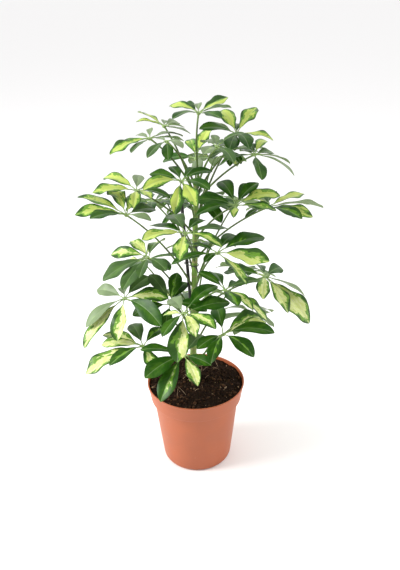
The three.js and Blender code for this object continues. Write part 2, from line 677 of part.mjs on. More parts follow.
const group = new THREE.Group();
const trunkHole = trunkSolid(SOIL.hole);
const caneHole = caneSolid(SOIL.hole);
group.add(piece('pot', pot(), TERRACOTTA_PLASTIC));
group.add(piece('soil', soil(trunkHole, caneHole), POTTING_SOIL));
group.add(piece('trunk', geometryOf(trunkSolid()), GREEN_STEM));
group.add(piece('support_cane', geometryOf(caneSolid()), BLACK_CANE));
TIE.heights.forEach((z, i) => group.add(piece(`tie_${i + 1}`, tie(z), TIE_WIRE)));

const blades = bendClear(leaflets());
const trunkCut = trunkSolid(SEAT_GAP);
for (const row of LEAVES) {
  const name = `leaf_${String(row[0]).padStart(2, '0')}`;
  const fan = blades.filter((leaflet) => leaflet.leaf === row[0]);
  group.add(piece(name, leafGeometry(row, fan, trunkCut), LEAF_GREEN));
}

export default group;
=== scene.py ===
from functools import partial

import bpy
import numpy as np
from bpy.props import FloatProperty, FloatVectorProperty, IntProperty, PointerProperty
from mathutils import Matrix, Vector


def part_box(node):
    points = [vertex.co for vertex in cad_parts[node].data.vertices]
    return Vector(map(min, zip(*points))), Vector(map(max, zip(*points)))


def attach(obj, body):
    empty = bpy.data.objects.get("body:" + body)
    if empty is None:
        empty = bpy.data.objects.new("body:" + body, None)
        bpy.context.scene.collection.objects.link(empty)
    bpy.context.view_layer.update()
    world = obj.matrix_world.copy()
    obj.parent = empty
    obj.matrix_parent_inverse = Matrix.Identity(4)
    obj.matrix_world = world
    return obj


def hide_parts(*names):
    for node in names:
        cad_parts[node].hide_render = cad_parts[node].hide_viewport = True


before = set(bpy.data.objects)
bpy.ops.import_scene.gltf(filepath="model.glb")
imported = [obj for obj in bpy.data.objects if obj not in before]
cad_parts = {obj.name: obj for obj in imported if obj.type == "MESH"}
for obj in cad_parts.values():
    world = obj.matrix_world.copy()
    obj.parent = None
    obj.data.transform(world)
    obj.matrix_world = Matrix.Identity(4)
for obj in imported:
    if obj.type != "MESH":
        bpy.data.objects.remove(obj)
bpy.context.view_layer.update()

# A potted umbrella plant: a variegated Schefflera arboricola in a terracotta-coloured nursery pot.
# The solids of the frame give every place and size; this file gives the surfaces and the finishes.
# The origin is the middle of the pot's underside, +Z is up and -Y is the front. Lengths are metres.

bl_info = {
    "name": "Potted umbrella plant",
    "version": (1, 0, 0),
    "blender": (4, 5, 0),
    "location": "View3D > Sidebar > Umbrella Plant",
    "description": "Builds a variegated umbrella plant in its nursery pot, with soil, cane and ties",
    "category": "Add Mesh",
}

MM = 0.001
DEG = np.pi / 180
RIGHT, BACK, UP = np.eye(3)

# Each compound leaf: (number, hub in mm, height in mm where its stalk leaves the trunk, reach of a
# leaflet in mm, fan, looks). The fan lists its leaflets as (bearing, drop), with a third value where
# the reach differs, 0 being the usual one, and a fourth where the blade is turned about its midrib.
# Bearings run anticlockwise from +X and drops are below the horizontal, in degrees. The looks give
# each leaflet's markings and painted sheen by the letters of MARKINGS_AND_SHEEN.
LEAVES = [
    (1, (10, 0, 478), 402, 44, ((345, -12, 38), (36, -16, 43, 10), (91, -10, 28), (121, -1, 42),
     (147, -5, 40, -14), (232, -4), (306, -3, 41, -8)), "glpdydd"),
    (2, (53, 8, 451), 352, 50, ((332, 2, 45, -14), (53, -29, 47, -14), (86, -8, 32), (111, -22, 48),
     (145, -8, 47, 12), (200, -14, 47), (257, 6, 46), (280, 8, 46)), "yydypddd"),
    (3, (29, -32, 448), 392, 42, ((8, -8, 34), (48, 12), (98, -8, 28),
     (122, 4, 42), (246, -4, 36), (295, 9)), "ggpppg"),
    (4, (72, -12, 433), 376, 46, ((332, 20, 52, -24), (8, 17, 44, -18), (50, 10, 36), (68, 0, 38),
     (92, -7, 34), (125, 10, 30), (174, 5, 44), (277, 19, 0, -10)), "ppgydddd"),
    (5, (-30, 20, 459), 382, 36, ((345, 17, 32, -14), (58, 10, 34), (89, -2, 22),
     (140, -12, 43, 6), (160, -7, 35), (325, 12, 30, -14)), "pppyyp"),
    (6, (-45, -10, 453), 388, 46, ((22, 1, 40, -10), (46, 0, 44, -6), (94, -10, 24), (129, -2, 26),
     (172, 20, 45), (208, 12, 50), (240, 9, 38, 6)), "dpppvvg"),
    (7, (-25, -40, 458), 396, 32, ((21, 3, 16), (124, 4, 20), (232, 17, 34),
     (274, 21, 32), (304, 0, 32, -20)), "ppgdp"),
    (8, (6, 50, 411), 366, 48, ((25, -5, 46), (66, -29), (98, -20, 44),
     (150, 13, 50), (275, 5, 40)), "gyvdp"),
    (9, (-10, -53, 417), 352, 44, ((33, -2, 40), (62, -8, 40), (115, -7, 36), (137, 0, 42), (158, -3, 38),
     (211, 0, 47, -14), (262, 26, 47), (291, 16, 46), (318, 3, 40)), "dddddylyd"),
    (10, (8, 40, 359), 300, 54, ((15, 8), (56, 15), (100, 20), (150, 22),
     (198, 20), (240, 15), (282, 14), (318, 6)), "ddddddds"),
    (11, (50, -38, 382), 328, 50, ((350, -3, 46), (22, -6, 54, 10), (38, -15, 42), (63, -14, 54),
     (124, -14, 56), (155, -2), (200, 5), (262, 4, 30)), "vydddddy"),
    (12, (89, -4, 366), 302, 56, ((5, 3, 68, -16), (29, -7, 55), (80, 4), (122, 22, 44),
     (215, 8, 34), (314, 0, 52, 16), (338, 5, 0, 16)), "pydddsy"),
    (13, (-75, -30, 370), 264, 50, ((330, 1, 34, 16), (52, 2, 48), (76, -4, 44), (114, -18),
     (163, -15, 63), (187, -9, 58, -12), (217, -8, 48, 12)), "pgyyvvd"),
    (14, (-64, -4, 390), 334, 46, ((345, 9, 42), (42, 6, 42), (90, -9, 40), (138, -4, 57, -12),
     (188, 1, 51), (270, 6, 42), (298, -2, 40)), "ddpyyyy"),
    (15, (-50, 60, 352), 306, 48, ((20, 10), (61, 14), (105, 10), (150, 12, 42),
     (190, 8, 36), (225, 0, 36), (268, -3, 42), (312, 2)), "dddddddd"),
    (16, (-7, -66, 361), 299, 52, ((28, 4, 56, -14), (62, 4, 48), (110, -3, 54), (139, 5, 56),
     (206, -4, 52, -10), (263, 10, 50), (326, 6, 48)), "gdgsyyv"),
    (17, (28, -71, 339), 259, 55, ((30, -4, 64, 14), (60, -2, 50), (138, 3, 43, 14), (188, 10, 53),
     (240, -2, 30), (304, 18, 0, -22), (339, 1, 60, 18)), "sddddvl"),
    (18, (87, -23, 284), 224, 54, ((333, 21, 53, -16), (58, 8, 46), (97, 5, 42), (146, 9, 60),
     (257, 0, 48), (298, 27, 0, 14), (328, 33, 77, 6)), "pdddyyy"),
    (19, (37, -59, 286), 232, 48, ((10, -4, 43), (56, 13, 40), (107, -2, 46), (150, -20, 39, -14),
     (288, 1), (315, 16), (330, 15, 60)), "gdddsvv"),
    (20, (34, -76, 236), 128, 54, ((348, -8, 61), (38, -3, 60, 14), (14, -9, 54, -6), (96, -5),
     (218, 5, 39, -10), (251, 12, 50), (304, 1, 58, 6)), "dlyddss"),
    (21, (-13, -81, 211), 142, 54, ((67, 3, 56), (183, -4, 52, 12), (221, 6, 59, -4),
     (242, 28, 64), (290, 10, 51), (319, -3, 42)), "gddsyd"),
    (22, (-11, -90, 273), 204, 50, ((24, -3, 58), (46, -8, 62), (112, 3, 44), (148, 20, 31),
     (237, 10, 44), (265, 23, 62), (288, 12, 42), (310, 1, 53)), "ddpydryv"),
    (23, (-86, -16, 254), 188, 58, ((9, 0, 54), (61, -9, 58, 14), (97, 7, 44), (145, 1, 46),
     (206, 27, 59, 10), (215, 39, 78, 16), (265, 41, 60), (318, 19, 70, 16), (352, 0, 56)), "dgpppyrdv"),
    (24, (-56, 16, 294), 226, 50, ((80, -3, 42), (122, -8, 47), (159, 4, 53, -22), (203, 20, 64, 6),
     (235, 20, 58, -8), (258, 8, 44), (304, 2, 42, 10)), "gyvgggg"),
    (25, (-62, -64, 214), 154, 52, ((58, -2, 45, 12), (110, -5, 50), (150, -7, 60), (172, -6, 50, -14),
     (200, 15, 75, 10), (222, 6, 51), (296, 3, 42)), "sgyyysv"),
    (26, (-29, -22, 248), 202, 48, ((350, 8), (57, -8, 48), (86, -29, 46),
     (131, -18, 52), (182, 4), (257, 7)), "dssgdd"),
    (27, (79, 30, 202), 146, 50, ((20, 6, 24), (55, 22), (95, 10), (140, 10),
     (185, 10), (235, 8), (285, 6, 30), (322, 14, 33)), "pppppppp"),
    (28, (30, 85, 400), 342, 55, ((10, 10, 42), (50, 26), (90, 28), (130, 20),
     (170, 4, 42), (215, -12, 38), (265, -16, 36), (320, -6, 36)), "dvdsdvdd"),
    (29, (-35, 95, 340), 280, 58, ((20, 8), (60, 22), (100, 30), (140, 27),
     (180, 14), (225, 0, 46), (270, -14, 38), (320, -4, 48)), "dvdyddsd"),
    (30, (58, 85, 342), 264, 60, ((10, 10, 46), (50, 30), (90, 26), (130, 14),
     (175, 0), (220, -14, 42), (270, -20, 34), (320, -10, 38)), "vdddsdvd"),
    (31, (22, 103, 275), 212, 62, ((10, 10, 50), (50, 26), (90, 30), (130, 25),
     (170, 12), (215, -6, 50), (265, -14, 40), (320, -8, 46)), "ddvdsddv"),
    (32, (-70, 75, 262), 194, 62, ((5, -4), (64, -4), (96, 26), (132, 26, 50),
     (170, 20, 44), (215, 6, 40), (260, -2, 50), (310, -8)), "dvdyddsd"),
    (33, (75, 85, 240), 174, 60, ((10, 20, 42), (50, 32), (90, 26), (130, 14),
     (175, -4, 46), (220, -16, 40), (265, -14, 34), (315, 4, 38)), "ddvdsddv"),
    (34, (-14, 90, 205), 148, 60, ((15, 13), (60, 26), (100, 28), (140, 22),
     (180, 12), (225, -4), (270, -12), (320, 0)), "dvdsdvdd"),
    (35, (45, 20, 429), 384, 44, ((350, 8), (30, 12), (75, 4), (120, 0),
     (165, 4), (215, 8, 30), (262, 10, 24), (308, 14, 26)), "pddgggdd"),
]

# Markings and painted sheen of a blade: how wide the cream runs across it (-1 none, 1 all), on
# which side of the midrib it lies (-1 to 1), and how pale the whole blade is. That paleness is a
# painted grey sheen, standing for the glossy wax mirroring the bright surroundings.
MARKINGS_AND_SHEEN = {
    "d": (-1.0, 0.0, 0.0),  # dark green
    "g": (-0.8, 0.0, 0.14),  # plain dark green lightened by a faint painted grey sheen
    "s": (-0.22, 0.1, 0.0),  # a narrow cream streak
    "v": (0.3, 0.0, 0.05),  # a broad cream centre
    "y": (0.62, 0.0, 0.1),  # cream with a thin green margin
    "l": (0.6, -0.6, 0.05),  # cream on the side of smaller bearings
    "r": (0.6, 0.6, 0.05),  # cream on the side of larger bearings
    "p": (-0.4, 0.0, 0.62),  # green under a strong painted pale grey sheen
}


def linear(code):
    """A colour's linear red, green, blue and alpha from its sRGB hex code: each part c becomes
    c/12.92 up to 0.04045 and ((c+0.055)/1.055)^2.4 above."""
    parts = np.array([int(code[i:i + 2], 16) for i in (1, 3, 5)]) / 255
    bent = np.where(parts <= 0.04045, parts / 12.92, ((parts + 0.055) / 1.055) ** 2.4)
    return (*bent.tolist(), 1.0)


# ------------------------------------------------------------------------------ sizes and colours


def size(name, description, default):
    """A length in metres."""
    return FloatProperty(name=name, description=description, default=default, unit="LENGTH", min=0)


def share(name, description, default):
    """A share of something else."""
    return FloatProperty(name=name, description=description, default=default, subtype="FACTOR")


def colour(name, description, code):
    """A colour, given by its sRGB hex code."""
    return FloatVectorProperty(
        name=name, description=description, default=linear(code), subtype="COLOR", size=4, min=0, max=1
    )


POT_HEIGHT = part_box("pot")[1].z
RIM_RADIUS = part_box("pot")[1].x


class PotSizes(bpy.types.PropertyGroup):
    """The nursery pot and the soil in it."""

    height: size("Height", "From the underside to the top of the lip", POT_HEIGHT)
    rim_radius: size("Rim radius", "Outside radius of the lip", RIM_RADIUS)
    base_radius: size("Base radius", "Outside radius at the foot", 0.0465)
    body_radius: size("Body radius", "Outside radius where the body meets the collar", 0.057)
    collar_radius: size("Collar radius", "Outside radius at the collar's lower edge", 0.0607)
    collar_bottom: size("Collar height", "Height of the collar's lower edge", 0.095)
    corner: size("Foot corner", "Height of the rounded foot", 0.004)
    wall: size("Wall", "Thickness of the plastic", 0.0016)
    floor: size("Floor", "Thickness of the pot's floor", 0.0022)
    soil_edge: size("Soil level", "Height of the soil at the pot's wall", 0.115)
    soil_mound: size("Soil mound", "Rise of the soil towards its middle", 0.004)


class LeafSizes(bpy.types.PropertyGroup):
    """The compound leaves."""

    thickness: size("Blade thickness", "Thickness of a leaflet's blade", 0.00045)
    rib: size("Rib", "How far the midrib stands out below the blade", 0.0006)
    half_width: share("Half width", "Half a leaflet's width, as a share of its reach", 0.18)
    wave: share("Wave", "Height of the waves in a blade's margin, as a share of its half width", 0.08)
    curl: share("Curl", "How far the margin turns down, as a share of the half width", 0.1)
    stalk_radius: size("Stalk radius", "Radius of a leaf's stalk at the trunk", 0.0013)
    stalk_end: size("Stalk end radius", "Radius of a leaf's stalk at its hub", 0.0009)
    along: IntProperty(name="Steps along", description="Faces along a blade", default=34, min=8)
    across: IntProperty(name="Steps across", description="Points across a blade", default=15, min=5)


class StemSizes(bpy.types.PropertyGroup):
    """The trunk, its cane and the ties."""

    trunk_bottom: size("Trunk bottom", "Height of the trunk's lower end in the soil", 0.074)
    trunk_top: size("Trunk top", "Height of the trunk's tip", 0.402)
    trunk_radius: size("Trunk radius", "Radius of the trunk at the soil", 0.0046)
    cane_radius: size("Cane radius", "Radius of the support cane", 0.002)
    wire: size("Wire radius", "Radius of the plastic-covered tie wire", 0.0006)


class PlantColours(bpy.types.PropertyGroup):
    """The colours of every finish."""

    leaf_dark: colour("Leaf green", "Dark green of an old blade", "#1f4806")
    leaf_mid: colour("Mid green", "Green between the dark margin and the cream", "#6b9a2b")
    leaf_cream: colour("Cream", "Cream-yellow middle of a blade", "#c9d27c")
    leaf_ivory: colour("Ivory", "Palest patches of a blade", "#dfe2b0")
    leaf_lime: colour("Lime", "Yellow middle of a young blade near the top", "#b0c154")
    # Pale green is the own grey-green of undersides and veins, and also the painted grey sheen laid over
    # glossy blades.
    leaf_pale: colour("Pale green", "Grey-green of veins and undersides, and painted grey sheen of glossy blades", "#8f9f7a")
    under: colour("Underside", "Grey-green of a blade's underside", "#79955a")
    stem: colour("Stem green", "Green bark of the trunk", "#6d8a38")
    bark: colour("Bark", "Tan of old bark and leaf scars", "#8c7c55")
    stalk: colour("Stalk green", "Green of the leaf stalks", "#4a5a2c")
    young: colour("Young green", "Pale green of the hubs and the leaflets' own stalks", "#8ba562")
    cane: colour("Cane", "Dark stain of the cane", "#1d1d22")
    wire: colour("Wire", "Plastic cover of the ties", "#23261f")
    pot: colour("Pot", "Terracotta-coloured plastic", "#ad5a33")
    pot_scuff: colour("Scuff", "Scratched plastic", "#dfa98e")
    soil: colour("Soil", "Damp peat", "#190e07")
    chip: colour("Chip", "Bark chips", "#4c3220")
    fibre: colour("Fibre", "Dry fibres and twigs", "#b99f84")
    floor: colour("Floor", "Pale studio floor", "#f6f5f5")


class StageSizes(bpy.types.PropertyGroup):
    """The camera and the lights."""

    lens: FloatProperty(
        name="Lens", description="Focal length on a 36 mm sensor", default=44.2, unit="CAMERA"
    )
    place: FloatVectorProperty(
        name="Camera place", description="Where the camera stands", default=(0.00794, -0.7794, 0.6662),
        unit="LENGTH", subtype="TRANSLATION",
    )
    pitch: FloatProperty(
        name="Pitch", description="How far the camera looks down", default=27.37 * DEG, subtype="ANGLE"
    )
    roll: FloatProperty(
        name="Roll", description="How far the camera is tilted", default=1.07 * DEG, subtype="ANGLE"
    )
    key: FloatProperty(name="Key light", description="Power of the key light", default=26, unit="POWER")
    fill: FloatProperty(name="Fill light", description="Power of the fill light", default=6, unit="POWER")
    sky: FloatProperty(name="Sky", description="Brightness of the surroundings overhead", default=1.5)
    dim: FloatProperty(name="Dim side", description="Brightness of the camera's side", default=0.36)


# ------------------------------------------------------------------------------ small tools


def vary(i, k):
    """A repeatable spread of values from -1 to 1: the fraction of i*0.618... + k*0.754..., doubled,
    less one."""
    return ((i * 0.61803399 + k * 0.75487767) % 1.0) * 2 - 1


def unit(vectors):
    """The vectors divided by their lengths."""
    return vectors / np.linalg.norm(vectors, axis=-1, keepdims=True)


def smooth(low, high, x):
    """0 below low, 1 above high, and 3f^2 - 2f^3 of the share f between them."""
    f = np.clip((x - low) / (high - low), 0, 1)
    return f * f * (3 - 2 * f)


def bumps(x, places, width):
    """1 at each place and 0 away from them: the highest of exp(-((x - place) / width)^2)."""
    return np.exp(-(((x[:, None] - places) / width) ** 2)).max(1)


def circle(sides):
    """The angles of evenly spaced points round a circle."""
    return np.arange(sides) * 2 * np.pi / sides


def curve(first, pull, last, t):
    """The curve (1-t)^2 first + 2t(1-t) pull + t^2 last."""
    return (1 - t) ** 2 * first + 2 * t * (1 - t) * pull + t ** 2 * last


def noise(x, y, cell, seed):
    """Smooth noise from -1 to 1: random values on a square lattice, blended by the smoothstep of
    each point's place between the lattice's lines, which are one cell apart."""
    size_of_lattice = 160
    lattice = np.random.default_rng(seed).uniform(-1, 1, (size_of_lattice, size_of_lattice))
    gx, gy = x / cell + size_of_lattice / 2, y / cell + size_of_lattice / 2
    ix, iy = (np.floor(g).astype(int) % (size_of_lattice - 1) for g in (gx, gy))
    fx, fy = smooth(0, 1, gx % 1), smooth(0, 1, gy % 1)
    low = lattice[ix, iy] * (1 - fx) + lattice[ix + 1, iy] * fx
    high = lattice[ix, iy + 1] * (1 - fx) + lattice[ix + 1, iy + 1] * fx
    return low * (1 - fy) + high * fy


def ring_faces(rows, columns):
    """The four-sided faces between rows of points, each row a closed ring."""
    i, k = np.meshgrid(np.arange(rows - 1), np.arange(columns), indexing="ij")
    here, aside = i * columns + k, i * columns + (k + 1) % columns
    return np.stack([here, aside, aside + columns, here + columns], -1).reshape(-1, 4)


def pole_faces(pole, ring):
    """The triangles that close a ring of points onto its pole."""
    return np.stack([np.full(len(ring), pole), ring, np.roll(ring, -1)], -1)


def capped(rings, poles):
    """The points and faces of a closed surface: rings (rows, columns, 3), each joined to the next,
    the first closed onto the first pole and the last onto the second."""
    rows, columns = rings.shape[:2]
    count, ring = rows * columns, np.arange(columns)
    faces = [ring_faces(rows, columns), pole_faces(count, ring)[:, ::-1],
             pole_faces(count + 1, count - columns + ring)]
    return np.concatenate([rings.reshape(-1, 3), poles]), faces


def with_poles(values):
    """Values for the points of a capped surface from those of its rings: a pole takes its
    neighbour's."""
    return np.concatenate([values, values[:1], values[-1:]])


def turned(outline, sides):
    """A solid of revolution: the outline's points (r, z) turned about Z, with a pole at each end
    where the outline meets the axis."""
    r, z, a = outline[1:-1, :1], outline[1:-1, 1:], circle(sides)
    rings = np.stack([r * np.cos(a), r * np.sin(a), z + 0 * a], -1)
    return capped(rings, [[0, 0, outline[0, 1]], [0, 0, outline[-1, 1]]])


def tube(path, radii, sides, aside, closed=False):
    """A round tube: at each point of the path a ring of radius r in the plane square to the path,
    point + r (cos a * side + sin a * up), where side is the given direction made square to the
    path. Open paths end in a pole at each end."""
    if closed:
        ahead = unit(np.roll(path, -1, 0) - np.roll(path, 1, 0))
    else:
        ahead = unit(np.gradient(path, axis=0))
    if np.ndim(aside) == 1:
        aside = aside - (ahead @ aside)[:, None] * ahead
    side = unit(aside)[:, None]
    up = np.cross(ahead[:, None], side)
    a = circle(sides)[:, None]
    radii = np.broadcast_to(radii, len(path))[:, None, None]
    rings = path[:, None] + radii * (np.cos(a) * side + np.sin(a) * up)
    if closed:
        return rings.reshape(-1, 3), [ring_faces(len(path) + 1, sides) % (len(path) * sides)]
    return capped(rings, path[[0, -1]])


class Surfaces:
    """Gathers closed surfaces, with a slot for each face and marks for each point, for one mesh."""

    def __init__(self):
        self.points, self.faces, self.slots, self.marks = [], [], [], []
        self.count = 0

    def add(self, points, faces, slots=0, **marks):
        """points (n, 3); faces, a list of index arrays; slots, one for all faces or one for each;
        marks, each a number, a column or three columns of numbers."""
        self.points.append(points)
        self.faces += [block + self.count for block in faces]
        self.slots.append(np.broadcast_to(slots, sum(len(block) for block in faces)))
        self.marks.append((len(points), marks))
        self.count += len(points)

    def mesh(self, name, materials, crease=None):
        """One smooth mesh of all the surfaces, with its edges sharper than crease kept sharp."""
        made = bpy.data.meshes.new(name)
        faces = [face for block in self.faces for face in block.tolist()]
        made.from_pydata(np.concatenate(self.points), [], faces)
        made.polygons.foreach_set("material_index", np.concatenate(self.slots).astype(np.int32))
        for key in sorted({key for _, marks in self.marks for key in marks}):
            values = np.concatenate([np.zeros((n, 3)) + marks.get(key, 0) for n, marks in self.marks])
            made.attributes.new(key, "FLOAT_VECTOR", "POINT").data.foreach_set(
                "vector", values.astype(np.float32).ravel()
            )
        made.shade_smooth()
        if crease is not None:
            made.set_sharp_from_angle(angle=crease)
        for material in materials:
            made.materials.append(material)
        made.update()
        return made


def place_piece(name, mesh, slot, *nodes):
    """Puts a finished mesh into the scene as a piece that rides on the root and stands for nodes."""
    piece = bpy.data.objects.new(name, mesh)
    bpy.context.scene.collection.objects.link(piece)
    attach(piece, "root")
    if nodes:
        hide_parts(*nodes)
    return piece


def add_node(tree, kind, *values, **named):
    """Adds a shader node. values go to its inputs in their order. A name with a capital is an input,
    with _ for each space, and any other name is a setting of the node. A value is a constant, a
    socket, or a node whose first output in use is linked."""
    made = tree.nodes.new("ShaderNode" + kind)
    for key in [key for key in named if key[0].islower()]:
        setattr(made, key, named.pop(key))
    inputs = [socket for socket in made.inputs if socket.enabled]
    by_name = {socket.name.replace(" ", "_"): socket for socket in inputs}
    for socket, value in (*zip(inputs, values), *((by_name[key], named[key]) for key in named)):
        if isinstance(value, bpy.types.Node):
            value = next(output for output in value.outputs if output.enabled)
        if isinstance(value, bpy.types.NodeSocket):
            tree.links.new(value, socket)
        else:
            socket.default_value = value
    return made


def make_material(name, finish, *choices):
    """A material whose nodes come from finish: it is given the function that adds a node, the place
    in Object coordinates and the choices, and returns what goes into the shader."""
    made = bpy.data.materials.new(name)
    made.use_nodes = True
    made.node_tree.nodes.clear()
    add = partial(add_node, made.node_tree)
    shader = finish(add, add("TexCoord").outputs["Object"], *choices)
    add("OutputMaterial", add("BsdfPrincipled", **shader))
    return made


# ------------------------------------------------------------------------------ finishes

# Each finish gives the inputs of one shader. A pattern's Scale is the number of its features in a
# metre, so 700 puts them 1.4 mm apart; the docstrings give the sizes in mm.

SOFT = {"interpolation_type": "SMOOTHSTEP"}  # for a range that eases in and out
COLOURS = {"data_type": "RGBA"}  # for a mix of two colours


def leaf_finish(add, where, colours, under):
    """A living umbrella plant blade. The upper skin is a thick glossy wax over dark green cells, with
    ragged patches without chlorophyll inside a wider zone of thin yellow-green; the underside is
    more matt, paler and greyer. place holds (share along, share across, seed), span the distances in
    mm along and across the blade, looks the cream's width, its side and the paleness, which is a
    painted grey sheen of the glossy wax."""
    place, span, looks = [
        add("SeparateXYZ", add("Attribute", attribute_name=key).outputs["Vector"]).outputs
        for key in ("place", "span", "looks")
    ]
    # Side veins leave the midrib and lean towards the tip. Blotches of 15 by 9 mm and streaks of
    # 5 by 2.2 mm run along them.
    aside = add("Math", span["Y"], operation="ABSOLUTE")
    veinward = add("Math", aside, -0.75, span["X"], operation="MULTIPLY_ADD")
    seed = add("Math", place["Z"], 37.0, operation="MULTIPLY")
    skewed = add("CombineXYZ", veinward, span["Y"], seed)
    in_blotches = add("VectorMath", skewed, (15.0, 9.0, 1.0), operation="DIVIDE")
    blotch = add("TexNoise", in_blotches, Scale=1.0, Detail=2.0, Roughness=0.6)
    in_streaks = add("VectorMath", skewed, (5.0, 2.2, 1.0), operation="DIVIDE")
    streak = add("TexNoise", in_streaks, Scale=1.0, Detail=3.0, Roughness=0.6)
    # The cream is as wide as its looks say, and its edge is moved by the blotches and streaks, by the
    # green margin and by the green tip. The mid green zone reaches a little further.
    off_side = add("Math", place["Y"], looks["Y"], operation="SUBTRACT")
    distance = add("Math", off_side, operation="ABSOLUTE")
    zone = add("Math", looks["X"], distance, operation="SUBTRACT")
    across = add("Math", place["Y"], operation="ABSOLUTE")
    for part, low, high, bottom, top in (
        (blotch, 0.0, 1.0, -1.1, 1.1),
        (across, 0.82, 0.98, 0.0, -0.45),
        (place["X"], 0.72, 1.0, 0.0, -0.4),
    ):
        shift = add("MapRange", part, low, high, bottom, top)
        zone = add("Math", zone, shift, operation="ADD")
    halo = add("MapRange", zone, -0.42, -0.3, To_Max=0.8, **SOFT)
    ragged = add("MapRange", streak, To_Min=-0.55, To_Max=0.55)
    ragged = add("Math", zone, ragged, operation="ADD")
    cream = add("MapRange", ragged, -0.03, 0.04, To_Max=0.94, **SOFT)
    # The green is a little lighter along the midrib.
    deep, mid = (colours.under, colours.leaf_pale) if under else (colours.leaf_dark, colours.leaf_mid)
    inner = add("Math", across, -0.22, blotch, operation="MULTIPLY_ADD")
    lighter = add("MapRange", inner, 0.25, 0.7, To_Max=0.3, **SOFT)
    body = add("Mix", lighter, deep, mid, **COLOURS)
    body = add("Mix", halo, body, mid, **COLOURS)
    # Painted sheen: the paleness mixes pale grey over the blade for its glossy wax mirroring the bright
    # surroundings.
    body = add("Mix", looks["Z"], body, colours.leaf_pale, **COLOURS)
    palest = add("MapRange", streak, 0.35, 0.75, **SOFT)
    bleached = add("Mix", palest, colours.leaf_cream, colours.leaf_ivory, **COLOURS)
    # The blades near the top are young, and their cream is still lime.
    height = add("SeparateXYZ", where).outputs["Z"]
    youth = add("MapRange", height, 0.22, 0.42, To_Max=0.9, **SOFT)
    bleached = add("Mix", youth, bleached, colours.leaf_lime, **COLOURS)
    body = add("Mix", cream, body, bleached, **COLOURS)
    # The midrib and, fainter, the side veins 4.4 mm apart.
    vein = add("Math", veinward, 2.2, operation="PINGPONG")
    vein = add("MapRange", vein, 0.1, 0.5, 0.1, 0.0, **SOFT)
    midrib = add("MapRange", aside, 0.2, 0.7, 1.0, 0.0, **SOFT)
    ribs = add("Math", vein, midrib, operation="MAXIMUM")
    rib_tint = add("Math", ribs, 0.3, operation="MULTIPLY")
    body = add("Mix", rib_tint, body, colours.leaf_pale, **COLOURS)
    bump = add("Bump", Height=ribs, Strength=0.2, Distance=0.15 * MM, invert=not under)
    return {"Base_Color": body, "Roughness": 0.6 if under else 0.33, "Specular_IOR_Level": 0.16,
            "Normal": bump}


def stalk_finish(add, where, colours):
    """Leaf stalks and hubs: smooth young skin, satin, with 11 mm blotches of lighter green, and paler
    towards the leaflets. young holds the share of that paleness."""
    patch = add("TexNoise", where, Scale=90.0, Detail=3.0)
    blotches = add("MapRange", patch, 0.35, 0.7, To_Max=0.4, **SOFT)
    hue = add("Mix", blotches, colours.stalk, colours.leaf_mid, **COLOURS)
    young = add("Attribute", attribute_name="young").outputs["Fac"]
    hue = add("Mix", young, hue, colours.young, **COLOURS)
    return {"Base_Color": hue, "Roughness": 0.45, "IOR": 1.45}


def bark_finish(add, where, colours):
    """Young green bark: satin, with upright streaks 2.4 mm wide and 13 mm long, corky tan rings where
    leaves stood and pores 1.4 mm apart. band holds the share of scar."""
    tall = add("Mapping", where, Scale=(1.0, 1.0, 0.18))
    streak = add("TexNoise", tall, Scale=420.0, Detail=4.0, Roughness=0.6)
    streaks = add("MapRange", streak, 0.3, 0.75, **SOFT)
    hue = add("Mix", streaks, colours.stem, colours.leaf_mid, **COLOURS)
    band = add("Attribute", attribute_name="band").outputs["Fac"]
    hue = add("Mix", band, hue, colours.bark, **COLOURS)
    pore = add("TexVoronoi", where, Scale=700.0)
    pores = add("MapRange", pore, 0.12, 0.3, 0.45, 0.0, **SOFT)
    hue = add("Mix", pores, hue, colours.bark, **COLOURS)
    bump = add("Bump", Height=streak, Strength=0.35, Distance=0.3 * MM)
    return {"Base_Color": hue, "Roughness": 0.55, "Normal": bump}


def cane_finish(add, where, colours):
    """Split bamboo stained nearly black: fibres 0.7 mm wide and 13 mm long, dull sheen."""
    tall = add("Mapping", where, Scale=(1.0, 1.0, 0.05))
    grain = add("TexNoise", tall, Scale=1500.0, Detail=3.0)
    worn = add("MapRange", grain, 0.4, 0.8, To_Max=0.3, **SOFT)
    hue = add("Mix", worn, colours.cane, colours.chip, **COLOURS)
    bump = add("Bump", Height=grain, Strength=0.4, Distance=0.2 * MM)
    return {"Base_Color": hue, "Roughness": 0.5, "Normal": bump}


def wire_finish(add, where, colours):
    """Steel wire in a dull plastic cover, its green uneven in patches of 1.3 mm."""
    patch = add("TexNoise", where, Scale=800.0, Detail=2.0)
    uneven = add("MapRange", patch, 0.4, 0.9, **SOFT)
    hue = add("Mix", uneven, colours.wire, colours.leaf_dark, **COLOURS)
    return {"Base_Color": hue, "Roughness": 0.5}


def pot_finish(add, where, colours):
    """Thin moulded polypropylene, coloured like terracotta: satin, with a 1.1 mm mould grain, faintly
    mottled every 40 mm where the colour mixed unevenly, with pale scratches 17 mm long and 2.4 mm
    high along the wall."""
    mottle = add("TexNoise", where, Scale=26.0, Detail=4.0, Roughness=0.55)
    tone = add("MapRange", mottle, 0.3, 0.7, 0.93, 1.06)
    mixed = add("HueSaturation", Value=tone, Color=colours.pot)
    slanted = add("Mapping", where, Scale=(1.0, 1.0, 7.0), Rotation=(0.3, 0.2, 0.5))
    scratch = add("TexNoise", slanted, Scale=60.0, Detail=5.0, Roughness=0.7)
    scuff = add("MapRange", scratch, 0.66, 0.74, To_Max=0.5, **SOFT)
    hue = add("Mix", scuff, mixed, colours.pot_scuff, **COLOURS)
    grain = add("TexNoise", where, Scale=900.0, Detail=2.0)
    bump = add("Bump", Height=grain, Strength=0.12, Distance=0.1 * MM)
    rough = add("MapRange", mottle, 0.3, 0.7, 0.42, 0.52)
    return {"Base_Color": hue, "Roughness": rough, "Normal": bump}


